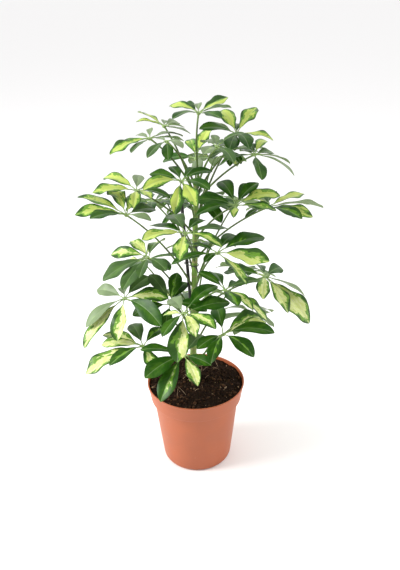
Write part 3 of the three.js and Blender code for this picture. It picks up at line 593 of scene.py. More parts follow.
def soil_finish(add, where, colours):
    """Damp peat: nearly black brown, matt, with 1.9 mm crumbs and paler flecks 1.4 mm apart."""
    crumbs = add("TexVoronoi", where, Scale=520.0)
    fine = add("TexNoise", where, Scale=700.0, Detail=5.0, Roughness=0.7)
    tint = add("MapRange", fine, 0.45, 0.75, To_Max=0.4, **SOFT)
    hue = add("Mix", tint, colours.soil, colours.chip, **COLOURS)
    relief = add("Math", crumbs, fine, operation="ADD")
    bump = add("Bump", Height=relief, Strength=0.9, Distance=1.0 * MM)
    return {"Base_Color": hue, "Roughness": 0.95, "Normal": bump, "Specular_IOR_Level": 0.1}


def crumb_finish(add, where, dark, light):
    """Dry crumbs, chips or fibres: matt, each between a dark and a light colour by its own tone, with
    dark flecks 0.7 mm apart."""
    tone = add("Attribute", attribute_name="tone").outputs["Fac"]
    fine = add("TexNoise", where, Scale=1500.0, Detail=3.0)
    flecks = add("MapRange", fine, 0.45, 0.7, To_Max=0.35, **SOFT)
    hue = add("Mix", tone, dark, light, **COLOURS)
    hue = add("Mix", flecks, hue, dark, **COLOURS)
    bump = add("Bump", Height=fine, Strength=0.5, Distance=0.3 * MM)
    return {"Base_Color": hue, "Roughness": 0.9, "Normal": bump, "Specular_IOR_Level": 0.15}


def paper_finish(add, where, colours):
    """Seamless studio paper: pale and matt, its tooth drawn as coarse as 25 mm to show at all."""
    grain = add("TexNoise", where, Scale=40.0, Detail=3.0)
    return {"Base_Color": colours.floor, "Roughness": add("MapRange", grain, To_Min=0.8, To_Max=0.95)}


# ------------------------------------------------------------------------------ pot

POT_SIDES = 160
POT_CREASE = 40 * DEG
COLLAR_STEP = 3 * MM  # height of the slope inside the collar's lower edge
SLOT_BEARINGS = np.array([225, 345, 105]) * DEG
SLOT_HALF_DEPTH = 5 * MM
SLOT_HALF_WIDTH = 4 * MM
SLOT_HALF_HEIGHT = 2.25 * MM
SLOT_SIDES = 24


def rounded(corners, cuts, steps=6):
    """An outline with its corners rounded: each corner P, between A and B, becomes the curve
    (1-t)^2 P1 + 2t(1-t) P + t^2 P2, where P1 and P2 lie its cut back towards A and B, or 0.45 of the
    way where that is less."""
    corners = np.asarray(corners, float)
    out = [corners[:1]]
    t = np.linspace(0, 1, steps)[:, None]
    for before, here, after, cut in zip(corners, corners[1:], corners[2:], cuts):
        first, second = (
            here + min(cut, 0.45 * np.linalg.norm(end - here)) * unit(end - here) for end in (before, after)
        )
        out.append(curve(first, here, second, t))
    return np.concatenate([*out, corners[-1:]])


def pot_outline(pot):
    """The pot's half section from the middle of its underside, up the outside, over the lip and down
    the inside to the middle of its floor."""
    wall, corner = pot.wall, pot.corner
    corners = [
        (0, 0),
        (pot.base_radius - 0.6 * corner, 0),
        (pot.base_radius, corner),
        (pot.body_radius, pot.collar_bottom),
        (pot.collar_radius, pot.collar_bottom + 0.5 * MM),
        (pot.rim_radius - 0.9 * MM, pot.height - 2.2 * MM),
        (pot.rim_radius, pot.height - 1.4 * MM),
        (pot.rim_radius, pot.height),
        (pot.rim_radius - wall, pot.height),
        (pot.collar_radius - wall, pot.collar_bottom + COLLAR_STEP),
        (pot.body_radius - wall, pot.collar_bottom),
        (pot.base_radius - wall, corner),
        (pot.base_radius - wall - 2 * MM, pot.floor),
        (0, pot.floor),
    ]
    cuts = np.array([2, 2, 0.8, 1, 0.6, 0.5, 0.6, 0.6, 1.2, 1.2, 1.5, 1]) * MM
    return rounded(corners, cuts)


def slot_plugs(pot):
    """A plug for each drain slot, through the wall at the foot. Its section is a rounded rectangle:
    the roots of cos a and sin a, with their signs, times half its width and half its height."""
    plugs = Surfaces()
    a = circle(SLOT_SIDES) + np.pi / SLOT_SIDES
    wave = np.stack([np.cos(a), np.sin(a)])
    across, upward = np.sign(wave) * np.abs(wave) ** 0.5
    for bearing in SLOT_BEARINGS:
        out = np.array([np.cos(bearing), np.sin(bearing), 0])
        section = SLOT_HALF_WIDTH * across[:, None] * np.cross(UP, out)
        section = section + SLOT_HALF_HEIGHT * upward[:, None] * UP
        middles = (pot.base_radius + np.array([[-1], [1]]) * SLOT_HALF_DEPTH) * out
        plugs.add(*capped(middles[:, None] + section, middles))
    return plugs.mesh("slot_plugs", [])


class PLANT_OT_pot(bpy.types.Operator):
    """Builds the nursery pot with its stepped collar, its lip and the drain slots at its foot"""

    bl_idname = "umbrella_plant.pot"
    bl_label = "Nursery pot"

    def execute(self, context):
        pot, colours = context.scene.umbrella_pot, context.scene.umbrella_colours
        material = make_material("moulded_terracotta_polypropylene", pot_finish, colours)
        shape = Surfaces()
        shape.add(*turned(pot_outline(pot), POT_SIDES))
        mesh = shape.mesh("nursery_pot", [material])
        piece = place_piece("nursery_pot", mesh, "terracotta_plastic", "pot")
        plugs = bpy.data.objects.new("slot_plugs", slot_plugs(pot))
        context.scene.collection.objects.link(plugs)
        cut = piece.modifiers.new("slots", "BOOLEAN")
        cut.operation, cut.object, cut.solver = "DIFFERENCE", plugs, "EXACT"
        context.view_layer.update()
        done = bpy.data.meshes.new_from_object(piece.evaluated_get(context.evaluated_depsgraph_get()))
        piece.modifiers.clear()
        piece.data = done
        bpy.data.objects.remove(plugs)
        done.set_sharp_from_angle(angle=POT_CREASE)
        return {"FINISHED"}


# ------------------------------------------------------------------------------ soil

SOIL_CLEAR = 0.5 * MM  # from the pot's wall
SOIL_ROUGHNESS = ((0.9, 14), (1.0, 5), (0.6, 2))  # height of each noise and size of its cells, in mm
SOIL_RINGS = 80
SOIL_SIDES = 240
SOIL_SEED = 41
CRUMBS = (1100, 0.6 * MM, 2.8 * MM, 0.8)  # number, least and greatest radius, flatness
CHIPS = (80, 0.8 * MM, 2.8 * MM, 0.35)
FIBRES = 30
FIBRE_POINTS = 12


def collar_inside(pot, z):
    """The inside radius of the pot's collar at a height."""
    bottom = pot.collar_bottom + COLLAR_STEP
    risen = (z - bottom) / (pot.height - bottom)
    return pot.collar_radius - pot.wall + risen * (pot.rim_radius - pot.collar_radius)


def soil_height(pot, x, y):
    """The soil's height: a low mound, edge + mound (1 - (r/R)^2), with three noises on it."""
    r = np.hypot(x, y) / collar_inside(pot, pot.soil_edge)
    rough = sum(
        height * noise(x, y, cell * MM, seed) for seed, (height, cell) in enumerate(SOIL_ROUGHNESS, 1)
    )
    return pot.soil_edge + pot.soil_mound * (1 - r * r) + rough * MM


def soil_surface(pot):
    """The soil: rings up the inside of the pot's wall and inwards over the mound."""
    a = circle(SOIL_SIDES)
    edge = collar_inside(pot, pot.soil_edge) - SOIL_CLEAR
    r = np.linspace(1, 1 / SOIL_RINGS, SOIL_RINGS)[:, None] * edge
    x, y = r * np.cos(a), r * np.sin(a)
    top = np.stack([x, y, soil_height(pot, x, y)], -1)
    inside = pot.wall + SOIL_CLEAR
    low = np.array([
        (pot.base_radius - inside - 2 * MM, pot.floor + 0.3 * MM),
        (pot.base_radius - inside, pot.corner + 2 * MM),
        (pot.body_radius - inside, pot.collar_bottom),
        (pot.collar_radius - inside, pot.collar_bottom + COLLAR_STEP),
    ])
    r, z = low[:, :1], low[:, 1:]
    sides = np.stack([r * np.cos(a), r * np.sin(a), z + 0 * a], -1)
    peak = float(soil_height(pot, 0.0, 0.0))
    return capped(np.concatenate([sides, top]), [[0, 0, low[0, 1]], [0, 0, peak]])


def random_turns(draw, n):
    """n random rotation matrices, from quaternions of normally drawn parts."""
    w, x, y, z = unit(draw.normal(size=(n, 4))).T
    rows = [[1 - 2 * (y * y + z * z), 2 * (x * y - w * z), 2 * (x * z + w * y)],
            [2 * (x * y + w * z), 1 - 2 * (x * x + z * z), 2 * (y * z - w * x)],
            [2 * (x * z - w * y), 2 * (y * z + w * x), 1 - 2 * (x * x + y * y)]]
    return np.moveaxis(np.array(rows), -1, 0)


def ball():
    """The twelve points and twenty faces of an icosahedron of radius 1."""
    g = (1 + 5 ** 0.5) / 2
    points = np.array([(-1, g, 0), (1, g, 0), (-1, -g, 0), (1, -g, 0), (0, -1, g), (0, 1, g),
                       (0, -1, -g), (0, 1, -g), (g, 0, -1), (g, 0, 1), (-g, 0, -1), (-g, 0, 1)])
    faces = np.array([(0, 11, 5), (0, 5, 1), (0, 1, 7), (0, 7, 10), (0, 10, 11), (1, 5, 9), (5, 11, 4),
                      (11, 10, 2), (10, 7, 6), (7, 1, 8), (3, 9, 4), (3, 4, 2), (3, 2, 6), (3, 6, 8),
                      (3, 8, 9), (4, 9, 5), (2, 4, 11), (6, 2, 10), (8, 6, 7), (9, 8, 1)])
    return unit(points), faces


def scattered(pot, draw, n, low, high, flat):
    """n lumps lying on the soil: jittered twenty-sided balls of radius low to high, flattened by
    flat, turned at random and set by their middle on the soil's height. Small ones are commoner."""
    points, faces = ball()
    radius = low * (high / low) ** (draw.random(n) ** 2.2)
    long, wide, tall = draw.uniform(0.7, 1.5, n), draw.uniform(0.6, 1.1, n), draw.uniform(0.7, 1.3, n)
    stretch = np.stack([long, wide, flat * tall], -1)
    jitter = 1 + draw.uniform(-0.25, 0.25, (n, len(points), 1))
    lumps = points * jitter * stretch[:, None] * radius[:, None, None]
    lumps = np.einsum("nij,nkj->nki", random_turns(draw, n), lumps)
    r = (collar_inside(pot, pot.soil_edge) - 2.5 * MM) * np.sqrt(draw.random(n))
    a = draw.uniform(0, 2 * np.pi, n)
    x, y = r * np.cos(a), r * np.sin(a)
    middle = np.stack([x, y, soil_height(pot, x, y) + 0.25 * radius * flat], -1)
    shape = Surfaces()
    tone = np.repeat(draw.random(n) ** 1.6, len(points))[:, None]
    all_faces = (faces + len(points) * np.arange(n)[:, None, None]).reshape(-1, 3)
    shape.add((lumps + middle[:, None]).reshape(-1, 3), [all_faces], tone=tone)
    return shape


def strewn_fibres(pot, draw):
    """Dry fibres, each a thin tapering tube 4 to 13 mm long that lies or leans on the soil: it starts
    on the soil, turns a little as it runs, and rises by a share of its length and by an arch."""
    shape = Surfaces()
    t = np.linspace(0, 1, FIBRE_POINTS)
    for _ in range(FIBRES):
        length = draw.uniform(4, 13) * MM
        start = draw.uniform(-0.62, 0.62, 2) * (collar_inside(pot, pot.soil_edge) - SOIL_CLEAR)
        turn = draw.uniform(0, 2 * np.pi) + draw.uniform(-0.25, 0.25) * t
        step = length / (FIBRE_POINTS - 1)
        x = start[0] + np.cumsum(step * np.cos(turn))
        y = start[1] + np.cumsum(step * np.sin(turn))
        ground = soil_height(pot, x, y)
        rise = draw.uniform(0, 1.3) * length * t + 0.9 * MM * np.sin(np.pi * t)
        height = np.linspace(ground[0], ground[-1], FIBRE_POINTS) + 0.4 * MM + rise
        radii = draw.uniform(0.22, 0.45) * MM * (1 - 0.6 * t)
        shape.add(*tube(np.stack([x, y, height], -1), radii, 6, UP), tone=draw.random())
    return shape


class PLANT_OT_soil(bpy.types.Operator):
    """Builds the potting soil, with the crumbs, bark chips and dry fibres that lie on it"""

    bl_idname = "umbrella_plant.soil"
    bl_label = "Potting soil"

    def execute(self, context):
        pot, colours = context.scene.umbrella_pot, context.scene.umbrella_colours
        shape = Surfaces()
        shape.add(*soil_surface(pot))
        material = make_material("damp_peat", soil_finish, colours)
        place_piece("potting_soil", shape.mesh("potting_soil", [material]), "potting_soil", "soil")
        draw = np.random.default_rng(SOIL_SEED)
        for name, shape, material_name, dark, light in (
            ("soil_crumbs", scattered(pot, draw, *CRUMBS),
             "peat_crumbs", colours.soil, colours.chip),
            ("bark_chips", scattered(pot, draw, *CHIPS),
             "bark_chips", colours.chip, colours.fibre),
            ("soil_fibres", strewn_fibres(pot, draw),
             "dry_fibres", colours.chip, colours.fibre),
        ):
            material = make_material(material_name, crumb_finish, dark, light)
            place_piece(name, shape.mesh(name, [material]), "potting_soil")
        return {"FINISHED"}


# ------------------------------------------------------------------------------ trunk, cane and ties

TRUNK_FOOT = (-3.6 * MM, 131 * MM)  # the trunk's X where it passes this height
TRUNK_LEAN = 9.2 / 271  # sideways for each unit of height
TRUNK_TAPER = 1.8 / 280  # radius lost for each unit of height above the soil
TRUNK_SWELLING = 0.09  # share by which it is thicker below each joint
TRUNK_FLARE = 0.25  # and at the soil
TRUNK_SIDES = 28
SOIL_LINE = 120 * MM
CANE_FOOT = np.array([3, 9, 100]) * MM
CANE_LEAN = np.array([-16 / 288, -5 / 288, 1])
CANE_ENDS = (78 * MM, 388 * MM)
CANE_KNOTS = np.array([150, 236, 322]) * MM
CANE_SWELLING = 0.14  # share by which it is thicker at a knot
CANE_CREASE = 50 * DEG
TIE_HEIGHTS = (317 * MM, 291 * MM)
TIE_CLEAR = 0.55 * MM


def trunk_at(z):
    """The middle of the trunk at a height: a straight line that leans to the right."""
    z = np.asarray(z, float)
    return np.stack([TRUNK_FOOT[0] + (z - TRUNK_FOOT[1]) * TRUNK_LEAN, 0 * z, z], -1)


def trunk_radius(stem, z):
    """The trunk's radius at a height: full at the soil and thinner by the taper above."""
    return stem.trunk_radius - (z - SOIL_LINE) * TRUNK_TAPER


def cane_at(z):
    """The middle of the cane at a height: a straight line that leans back to the trunk."""
    return CANE_FOOT + np.multiply.outer(z - CANE_FOOT[2], CANE_LEAN)


class PLANT_OT_trunk(bpy.types.Operator):
    """Builds the green trunk, swollen and ringed where each leaf stalk leaves it"""

    bl_idname = "umbrella_plant.trunk"
    bl_label = "Trunk"

    def execute(self, context):
        stem, colours = context.scene.umbrella_stem, context.scene.umbrella_colours
        z = np.linspace(stem.trunk_bottom, stem.trunk_top, 260)
        # The first leaf's stalk is the trunk's own tip. Each other one leaves above a swelling, and
        # above the scar of an older leaf.
        joints = np.array([row[2] for row in LEAVES[1:]]) * MM
        swelling = TRUNK_SWELLING * bumps(z, joints - 1.5 * MM, 2.2 * MM)
        swelling = swelling + 0.02 * noise(z, 0 * z, 9 * MM, 6)
        scars = bumps(z, joints - 3.5 * MM, 0.8 * MM)
        path = trunk_at(z)
        path[:, 1] += 0.35 * MM * noise(z, 0 * z, 30 * MM, 5)
        foot = TRUNK_FLARE * smooth(128 * MM, 112 * MM, z)
        radii = trunk_radius(stem, np.maximum(z, SOIL_LINE)) * (1 + swelling) * (1 + foot)
        old = 1 - 0.9 * smooth(118 * MM, 215 * MM, z)
        band = np.repeat(np.clip(0.75 * scars + 0.45 * old, 0, 1), TRUNK_SIDES)
        shape = Surfaces()
        shape.add(*tube(path, radii, TRUNK_SIDES, BACK), band=with_poles(band)[:, None])
        material = make_material("young_green_bark", bark_finish, colours)
        place_piece("green_trunk", shape.mesh("green_trunk", [material]), "green_stem", "trunk")
        return {"FINISHED"}


def tie_shape(stem, height):
    """A wire tie: half a ring round the cane and half a ring round the trunk, joined into a loop, and
    its two ends, twisted together and bent down in front of the trunk."""
    shape = Surfaces()
    trunk, cane = trunk_at(height), cane_at(height)
    away = np.arctan2(cane[1] - trunk[1], cane[0] - trunk[0])
    clear = TIE_CLEAR + stem.wire
    t = np.linspace(0, np.pi, 24)
    loop = [
        middle + radius * np.stack([np.cos(start + t), np.sin(start + t), 0 * t], -1)
        for middle, radius, start in (
            (cane, stem.cane_radius + clear, away - np.pi / 2),
            (trunk, 1.05 * trunk_radius(stem, height) + clear, away + np.pi / 2),
        )
    ]
    shape.add(*tube(np.concatenate(loop), stem.wire, 10, UP, closed=True))
    face = trunk + np.array([0.2, -1, 0]) * (trunk_radius(stem, height) + clear)
    s = np.linspace(0, 1, 40)
    tail = face + np.stack([3 * MM * s, -9 * MM * s, -4 * MM * s * s], -1)
    for phase in (0, np.pi):
        twist = phase + 5 * np.pi * s
        swing = stem.wire * 1.1 * np.stack([np.cos(twist), 0 * s, np.sin(twist)], -1)
        shape.add(*tube(tail + swing, stem.wire, 8, RIGHT))
    return shape


class PLANT_OT_cane(bpy.types.Operator):
    """Builds the dark support cane and the two wire ties that hold the trunk to it"""

    bl_idname = "umbrella_plant.cane"
    bl_label = "Cane and ties"

    def execute(self, context):
        stem, colours = context.scene.umbrella_stem, context.scene.umbrella_colours
        z = np.linspace(*CANE_ENDS, 120)
        swelling = CANE_SWELLING * bumps(z, CANE_KNOTS, 1.6 * MM) + 0.03 * noise(z, 0 * z, 7 * MM, 7)
        shape = Surfaces()
        shape.add(*tube(cane_at(z), stem.cane_radius * (1 + swelling), 16, BACK))
        material = make_material("stained_bamboo_cane", cane_finish, colours)
        mesh = shape.mesh("bamboo_cane", [material], CANE_CREASE)
        place_piece("bamboo_cane", mesh, "black_cane", "support_cane")
        material = make_material("plastic_covered_wire", wire_finish, colours)
        for number, height in enumerate(TIE_HEIGHTS, 1):
            mesh = tie_shape(stem, height).mesh(f"wire_tie_{number}", [material])
            place_piece(f"wire_tie_{number}", mesh, "tie_wire", f"tie_{number}")
        return {"FINISHED"}


# ------------------------------------------------------------------------------ leaves

STALK_SHARE = 0.16  # share of a leaflet's reach that is its own little stalk
FOLD = 14 * DEG  # how far each half of a blade rises from its midrib
ARCH = 44  # degrees that a blade bends over from base to tip
VARY = {"reach": 0.06, "arch": 14, "roll": 9, "width": 0.14}
FAN_TILT = 1.3  # how fully the blades turn into the plane of their fan
STALK_RISE = 0.1  # how far a stalk arches up, as a share of its length
STALK_PULL = 0.06  # and how far in towards the trunk
STALK_FLARE = (0.55, 3 * MM)  # share by which a stalk is thicker at the trunk, and how far that reaches
STALK_SWELLING = (0.45, 4 * MM)  # the same under the hub
YOUNG = (0.8, 9 * MM)  # share of young green at the hub, and how far it reaches down the stalk
HUB_RADIUS = 2.5 * MM
HUB_HALF_HEIGHT = 1.7 * MM
HUB_SUNK = 0.4 * MM
STALK_SIDES = 12
TIP_MATCH = 0.02 * MM
CREASE = 0.8 * MM  # roundness of the fold along a midrib
GROOVE = (0.15 * MM, 0.7 * MM)  # depth and half width of the groove over a midrib
RIB_HALF_WIDTH = 0.6 * MM
LEAST_HALF_WIDTH = 0.5 * MM
UNEVEN = 0.05  # how much wider one half of a blade may be, and the other narrower
LOBES = 2.6  # along a blade's margin
LOBE_DEPTH = (0.015, 0.06)  # share of the half width in green, and what cream adds
WAVES = 1.6  # along a blade's margin
BOW = 0.012  # sideways bend of a blade, as a share of its reach
LEAF_CREASE = 75 * DEG
UPPER, UNDER, STALK = range(3)  # slots of a leaf's materials


def blade_outline(u):
    """Half a blade's width from its foot, u = 0, to its tip, u = 1, as a share of the widest:
    sin(pi u^1.38)^0.72, narrow at the foot and widest past the middle."""
    return np.maximum(np.sin(np.pi * np.clip(u, 0, 1) ** 1.38), 0) ** 0.72


def leaf_points(number):
    """The points of a leaf's solid in the frame."""
    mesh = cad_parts[f"leaf_{number:02d}"].data
    points = np.empty(len(mesh.vertices) * 3, np.float32)
    mesh.vertices.foreach_get("co", points)
    return points.reshape(-1, 3).astype(float)


def fan_of(row):
    """The leaflets of one leaf as arrays, bent clear as its solid is: a tip is the point of the solid
    that lies at the leaflet's reach from the hub, nearest to the leaflet's rough direction."""
    number, hub, _, usual, fan, looks = row
    hub = np.array(hub) * MM
    i = 10 * number + np.arange(len(fan))
    # A leaflet without a reach of its own has the leaf's usual one, and without a turn has none.
    full = [(*leaflet, 0, 0)[:4] for leaflet in fan]
    bearing, drop, reach, turned_by = np.array(full, float).T * [[DEG], [DEG], [MM], [DEG]]
    reach = np.where(reach > 0, reach, usual * (1 + VARY["reach"] * vary(i, 2)) * MM)
    lean = 2 * FAN_TILT * np.array([(drop * np.cos(bearing)).mean(), (drop * np.sin(bearing)).mean()])
    roll = lean[0] * np.sin(bearing) - lean[1] * np.cos(bearing)
    roll = roll + turned_by + VARY["roll"] * DEG * vary(i, 4)
    chord = np.stack([np.cos(bearing) * np.cos(drop), np.sin(bearing) * np.cos(drop), -np.sin(drop)], -1)
    away = leaf_points(number) - hub
    far = np.linalg.norm(away, axis=1)
    found = np.abs(far - reach[:, None]) < TIP_MATCH
    if not found.any(1).all():
        raise RuntimeError(f"leaf_{number:02d} has a leaflet whose tip isn't in the frame")
    match = np.where(found, chord @ (away / far[:, None]).T, -2).argmax(1)
    chord = unit(away[match])
    return {
        "hub": hub, "index": i, "reach": reach, "chord": chord, "roll": roll,
        "bearing": np.arctan2(chord[:, 1], chord[:, 0]), "drop": -np.arcsin(chord[:, 2]),
        "arch": (ARCH + VARY["arch"] * vary(i, 3)) * DEG, "width": 1 + VARY["width"] * vary(i, 5),
        "looks": np.array([MARKINGS_AND_SHEEN[letter] for letter in looks]),
    }


def midribs(fan, s):
    """The midrib of each leaflet at shares s of its reach, with the blade's sideways and upward
    directions there: an arc of a circle over the chord, whose ends lean half the arch either way,
    turned about the chord by the roll."""
    b, d, a, r, reach = (fan[key][:, None, None] for key in ("bearing", "drop", "arch", "roll", "reach"))
    chord = fan["chord"][:, None]
    above = np.concatenate([np.cos(b) * np.sin(d), np.sin(b) * np.sin(d), np.cos(d)], -1)
    level = np.concatenate([-np.sin(b), np.cos(b), 0 * b], -1)
    turn = a * (s[:, None] - 0.5)
    span = reach / (2 * np.sin(a / 2))
    middle = fan["hub"] + span * (
        (np.sin(a / 2) + np.sin(turn)) * chord + (np.cos(turn) - np.cos(a / 2)) * above
    )
    normal = np.sin(turn) * chord + np.cos(turn) * above
    return middle, np.cos(r) * level + np.sin(r) * normal, np.cos(r) * normal - np.sin(r) * level


def add_blades(shape, fan, leaf):
    """Adds the blades of a fan. At a share u along and t across, a point of the upper side is
    midrib + off * side + lift * up: off = t * half width; lift is the fold, tan(FOLD)
    (sqrt(off^2 + crease^2) - crease), less the curl of the margin, plus its waves, less the groove
    over the midrib. The underside lies the blade's thickness and the rib below."""
    rows, columns = leaf.along, leaf.across
    # The rows stand closer at the tip and the columns closer at the midrib.
    u = 1 - (1 - np.linspace(0.012, 0.995, rows)[:, None]) ** 1.15
    s = STALK_SHARE + (1 - STALK_SHARE) * u
    line = np.linspace(-1, 1, columns)
    t = np.sign(line) * np.abs(line) ** 1.4
    middle, side, up = (array[:, :, None] for array in midribs(fan, s[:, 0]))
    i, reach, width = (fan[key][:, None, None] for key in ("index", "reach", "width"))
    # The width, uneven between the two halves and gently lobed along the margin. Cream tissue grows
    # less than green, so a blade with much cream is more lobed and more wavy.
    cream = np.clip(fan["looks"][:, 0], 0, 1)[:, None, None]
    half = np.maximum(reach * width * leaf.half_width * blade_outline(u), LEAST_HALF_WIDTH)
    half = half * (1 + UNEVEN * vary(i, 7) * np.sign(t))
    lobes = np.sin(2 * np.pi * (LOBES * u + vary(i, 8))) * np.abs(t)
    half = half * (1 + (LOBE_DEPTH[0] + LOBE_DEPTH[1] * cream) * lobes)
    off = t * half
    lift = np.tan(FOLD) * (np.sqrt(off ** 2 + CREASE ** 2) - CREASE)
    lift = lift - leaf.curl * half * np.abs(t) ** 3.5
    waves = np.sin(2 * np.pi * (WAVES + 0.5 * vary(i, 9)) * u + np.pi * vary(i, 6) + 0.9 * np.sign(t))
    waves = waves * (1 + 2 * cream) * (1 + 0.5 * vary(i, 10))
    lift = lift + leaf.wave * half * np.abs(t) ** 1.6 * waves
    lift = lift - GROOVE[0] * np.exp(-((off / GROOVE[1]) ** 2))
    bow = BOW * reach * vary(i, 11) * np.sin(np.pi * u)
    upper = middle + (off + bow)[..., None] * side + lift[..., None] * up
    body = leaf.thickness * (1 - np.abs(t) ** 6)
    rib = leaf.rib * np.exp(-((off / RIB_HALF_WIDTH) ** 2)) * (1 - u) ** 0.6
    lower = upper - (body + rib)[..., None] * up
    # A ring runs across the upper side and back along the underside.
    loop = np.concatenate([upper, lower[:, :, -2:0:-1]], 2)
    around = loop.shape[2]
    ends = midribs(fan, np.array([STALK_SHARE, 1.0]))[0]
    across = np.concatenate([t, t[-2:0:-1]])
    aside = np.concatenate([off, off[:, :, -2:0:-1]], 2)
    seed = vary(i, 12) * 0.5 + 0.5
    place = np.stack(np.broadcast_arrays(u, across, seed), -1)
    span = np.stack(np.broadcast_arrays(reach * s, aside, 0), -1) / MM
    slots = np.concatenate([np.tile(np.arange(around) >= columns - 1, rows - 1), np.zeros(2 * around)])
    for k, looks in enumerate(fan["looks"]):
        points, faces = capped(loop[k], ends[k])
        shape.add(
            points, [block[:, ::-1] for block in faces], np.where(slots, UNDER, UPPER), looks=looks,
            place=with_poles(place[k].reshape(-1, 3)), span=with_poles(span[k].reshape(-1, 3)),
        )


def add_little_stalks(shape, fan):
    """Adds each leaflet's own stalk: a round tube along the start of its midrib, swollen at the hub,
    which runs out under the blade as the start of its rib."""
    s = np.linspace(0.015, 0.34, 12)
    middle, side, up = midribs(fan, s)
    radii = MM * (0.62 + 0.55 * np.exp(-s / 0.035) - 0.45 * smooth(0.14, 0.34, s))
    below = 0.6 * MM * smooth(0.12, 0.2, s)[:, None]
    for path, aside in zip(middle - below * up, side):
        shape.add(*tube(path, radii, 8, aside), STALK, young=0.85)


def add_stalk(shape, stem, leaf, row):
    """Adds the leaf's stalk, from the trunk's skin to the hub: the curve (1-t)^2 A + 2t(1-t) B +
    t^2 C, with B above the middle of the straight way and drawn in towards the trunk. It is flared
    where it clasps the trunk and swollen under the hub, a small flattened ball."""
    hub, root = np.array(row[1]) * MM, trunk_at(row[2] * MM)
    away = unit((hub - root) * [1, 1, 0])
    skin = root + away * (trunk_radius(stem, row[2] * MM) + 0.1 * MM)
    length = np.linalg.norm(hub - root)
    bend = (skin + hub) / 2 + STALK_RISE * length * UP - STALK_PULL * length * away
    path = curve(skin, bend, hub, np.linspace(0, 1, 34)[:, None])
    gone = np.linalg.norm(path - path[0], axis=1)
    left = np.linalg.norm(path - path[-1], axis=1)
    radii = np.linspace(leaf.stalk_radius, leaf.stalk_end, len(path))
    flare, swelling, young = (
        most * np.exp(-far / reach)
        for far, (most, reach) in ((gone, STALK_FLARE), (left, STALK_SWELLING), (left, YOUNG))
    )
    radii = radii * (1 + flare + swelling)
    young = with_poles(np.repeat(young, STALK_SIDES))
    shape.add(*tube(path, radii, STALK_SIDES, np.cross(UP, away)), STALK, young=young[:, None])
    a = np.linspace(0, np.pi, 9)
    knob = np.stack([HUB_RADIUS * np.sin(a), -HUB_HALF_HEIGHT * np.cos(a)], -1)
    points, faces = turned(knob, 14)
    shape.add(points + hub - HUB_SUNK * UP, faces, STALK, young=YOUNG[0])


class PLANT_OT_leaves(bpy.types.Operator):
    """Builds every compound leaf: its stalk, its hub and its fan of arched, variegated leaflets"""

    bl_idname = "umbrella_plant.leaves"
    bl_label = "Leaves"

    def execute(self, context):
        scene = context.scene
        stem, leaf, colours = scene.umbrella_stem, scene.umbrella_leaf, scene.umbrella_colours
        materials = [make_material("waxy_leaf_upper_side", leaf_finish, colours, False),
                     make_material("matt_leaf_underside", leaf_finish, colours, True),
                     make_material("green_leaf_stalk", stalk_finish, colours)]
        for row in LEAVES:
            fan = fan_of(row)
            shape = Surfaces()
            add_blades(shape, fan, leaf)
            add_little_stalks(shape, fan)
            add_stalk(shape, stem, leaf, row)
            name = f"umbrella_leaf_{row[0]:02d}"
            mesh = shape.mesh(name, materials, LEAF_CREASE)
            place_piece(name, mesh, "leaf_green", f"leaf_{row[0]:02d}")
        return {"FINISHED"}


# ------------------------------------------------------------------------------ stage

FLOOR_RADIUS = 14.0
FLOOR_SIDES = 64
LAMP_WIDTH = 0.8
LAMP_TARGET = Vector((0, 0, 0.28))


def aim(place, target):
    """The matrix of a lamp at place that shines at target."""
    return Matrix.LocRotScale(place, (target - place).to_track_quat("-Z", "Y"), None)


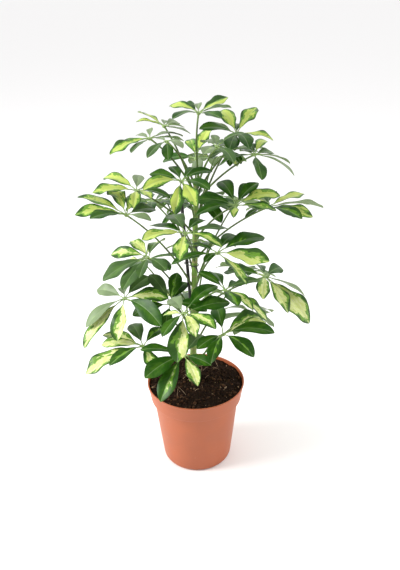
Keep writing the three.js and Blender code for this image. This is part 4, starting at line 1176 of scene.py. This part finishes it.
class PLANT_OT_stage(bpy.types.Operator):
    """Sets up the pale floor, the soft lights, the white surroundings and the camera"""

    bl_idname = "umbrella_plant.stage"
    bl_label = "Stage"

    def execute(self, context):
        scene = context.scene
        stage, colours = scene.umbrella_stage, scene.umbrella_colours
        scene.view_settings.view_transform = "Standard"
        lens = bpy.data.cameras.new("camera")
        lens.lens, lens.sensor_width = stage.lens, 36
        lens.clip_start, lens.clip_end = 0.01, 50
        camera = bpy.data.objects.new("camera", lens)
        camera.matrix_world = (
            Matrix.Translation(stage.place)
            @ Matrix.Rotation(np.pi / 2 - stage.pitch, 4, "X")
            @ Matrix.Rotation(-stage.roll, 4, "Z")
        )
        scene.collection.objects.link(camera)
        scene.camera = camera

        shape = Surfaces()
        a = circle(FLOOR_SIDES)
        rim = FLOOR_RADIUS * np.stack([np.cos(a), np.sin(a), 0 * a], -1)
        shape.add(np.concatenate([rim, [[0, 0, 0]]]), [pole_faces(FLOOR_SIDES, np.arange(FLOOR_SIDES))])
        material = make_material("matt_studio_paper", paper_finish, colours)
        floor = bpy.data.objects.new("floor", shape.mesh("floor", [material]))
        scene.collection.objects.link(floor)

        for name, power, place in (
            ("key_light", stage.key, (-1.25, -0.2, 0.95)),
            ("fill_light", stage.fill, (1.1, -0.05, 0.7)),
        ):
            lamp = bpy.data.lights.new(name, "AREA")
            lamp.shape, lamp.size, lamp.energy = "DISK", LAMP_WIDTH, power
            lamp_object = bpy.data.objects.new(name, lamp)
            lamp_object.matrix_world = aim(Vector(place), LAMP_TARGET)
            scene.collection.objects.link(lamp_object)
        # The surroundings are bright overhead and behind, and dim low down on the camera's side.
        world = bpy.data.worlds.new("studio_surroundings")
        world.use_nodes = True
        world.node_tree.nodes.clear()
        add = partial(add_node, world.node_tree)
        way = add("SeparateXYZ", add("TexCoord").outputs["Generated"]).outputs
        behind = add("Math", way["Y"], 0.5, operation="MULTIPLY")
        height = add("Math", way["Z"], 0.75, behind, operation="MULTIPLY_ADD")
        strength = add("MapRange", height, -0.35, 0.75, stage.dim, stage.sky, **SOFT)
        add("OutputWorld", add("Background", Strength=strength))
        scene.world = world
        return {"FINISHED"}


class PLANT_PT_panel(bpy.types.Panel):
    """The sidebar panel that lists the pieces"""

    bl_label = "Potted umbrella plant"
    bl_idname = "PLANT_PT_panel"
    bl_space_type = "VIEW_3D"
    bl_region_type = "UI"
    bl_category = "Umbrella Plant"

    def draw(self, context):
        for operator in OPERATORS:
            self.layout.operator(operator.bl_idname)
        for group in GROUPS:
            for key in GROUPS[group].__annotations__:
                self.layout.prop(getattr(context.scene, group), key)


GROUPS = {
    "umbrella_pot": PotSizes,
    "umbrella_leaf": LeafSizes,
    "umbrella_stem": StemSizes,
    "umbrella_colours": PlantColours,
    "umbrella_stage": StageSizes,
}
OPERATORS = [PLANT_OT_stage, PLANT_OT_pot, PLANT_OT_soil, PLANT_OT_trunk, PLANT_OT_cane, PLANT_OT_leaves]


def register():
    for made in (*GROUPS.values(), *OPERATORS, PLANT_PT_panel):
        bpy.utils.register_class(made)
    for name, group in GROUPS.items():
        setattr(bpy.types.Scene, name, PointerProperty(type=group))


def unregister():
    for name in GROUPS:
        delattr(bpy.types.Scene, name)
    for made in (PLANT_PT_panel, *OPERATORS, *GROUPS.values()):
        bpy.utils.unregister_class(made)


def main():
    register()
    bpy.ops.umbrella_plant.stage()
    bpy.ops.umbrella_plant.pot()
    bpy.ops.umbrella_plant.soil()
    bpy.ops.umbrella_plant.trunk()
    bpy.ops.umbrella_plant.cane()
    bpy.ops.umbrella_plant.leaves()


if __name__ == "__main__":
    main()
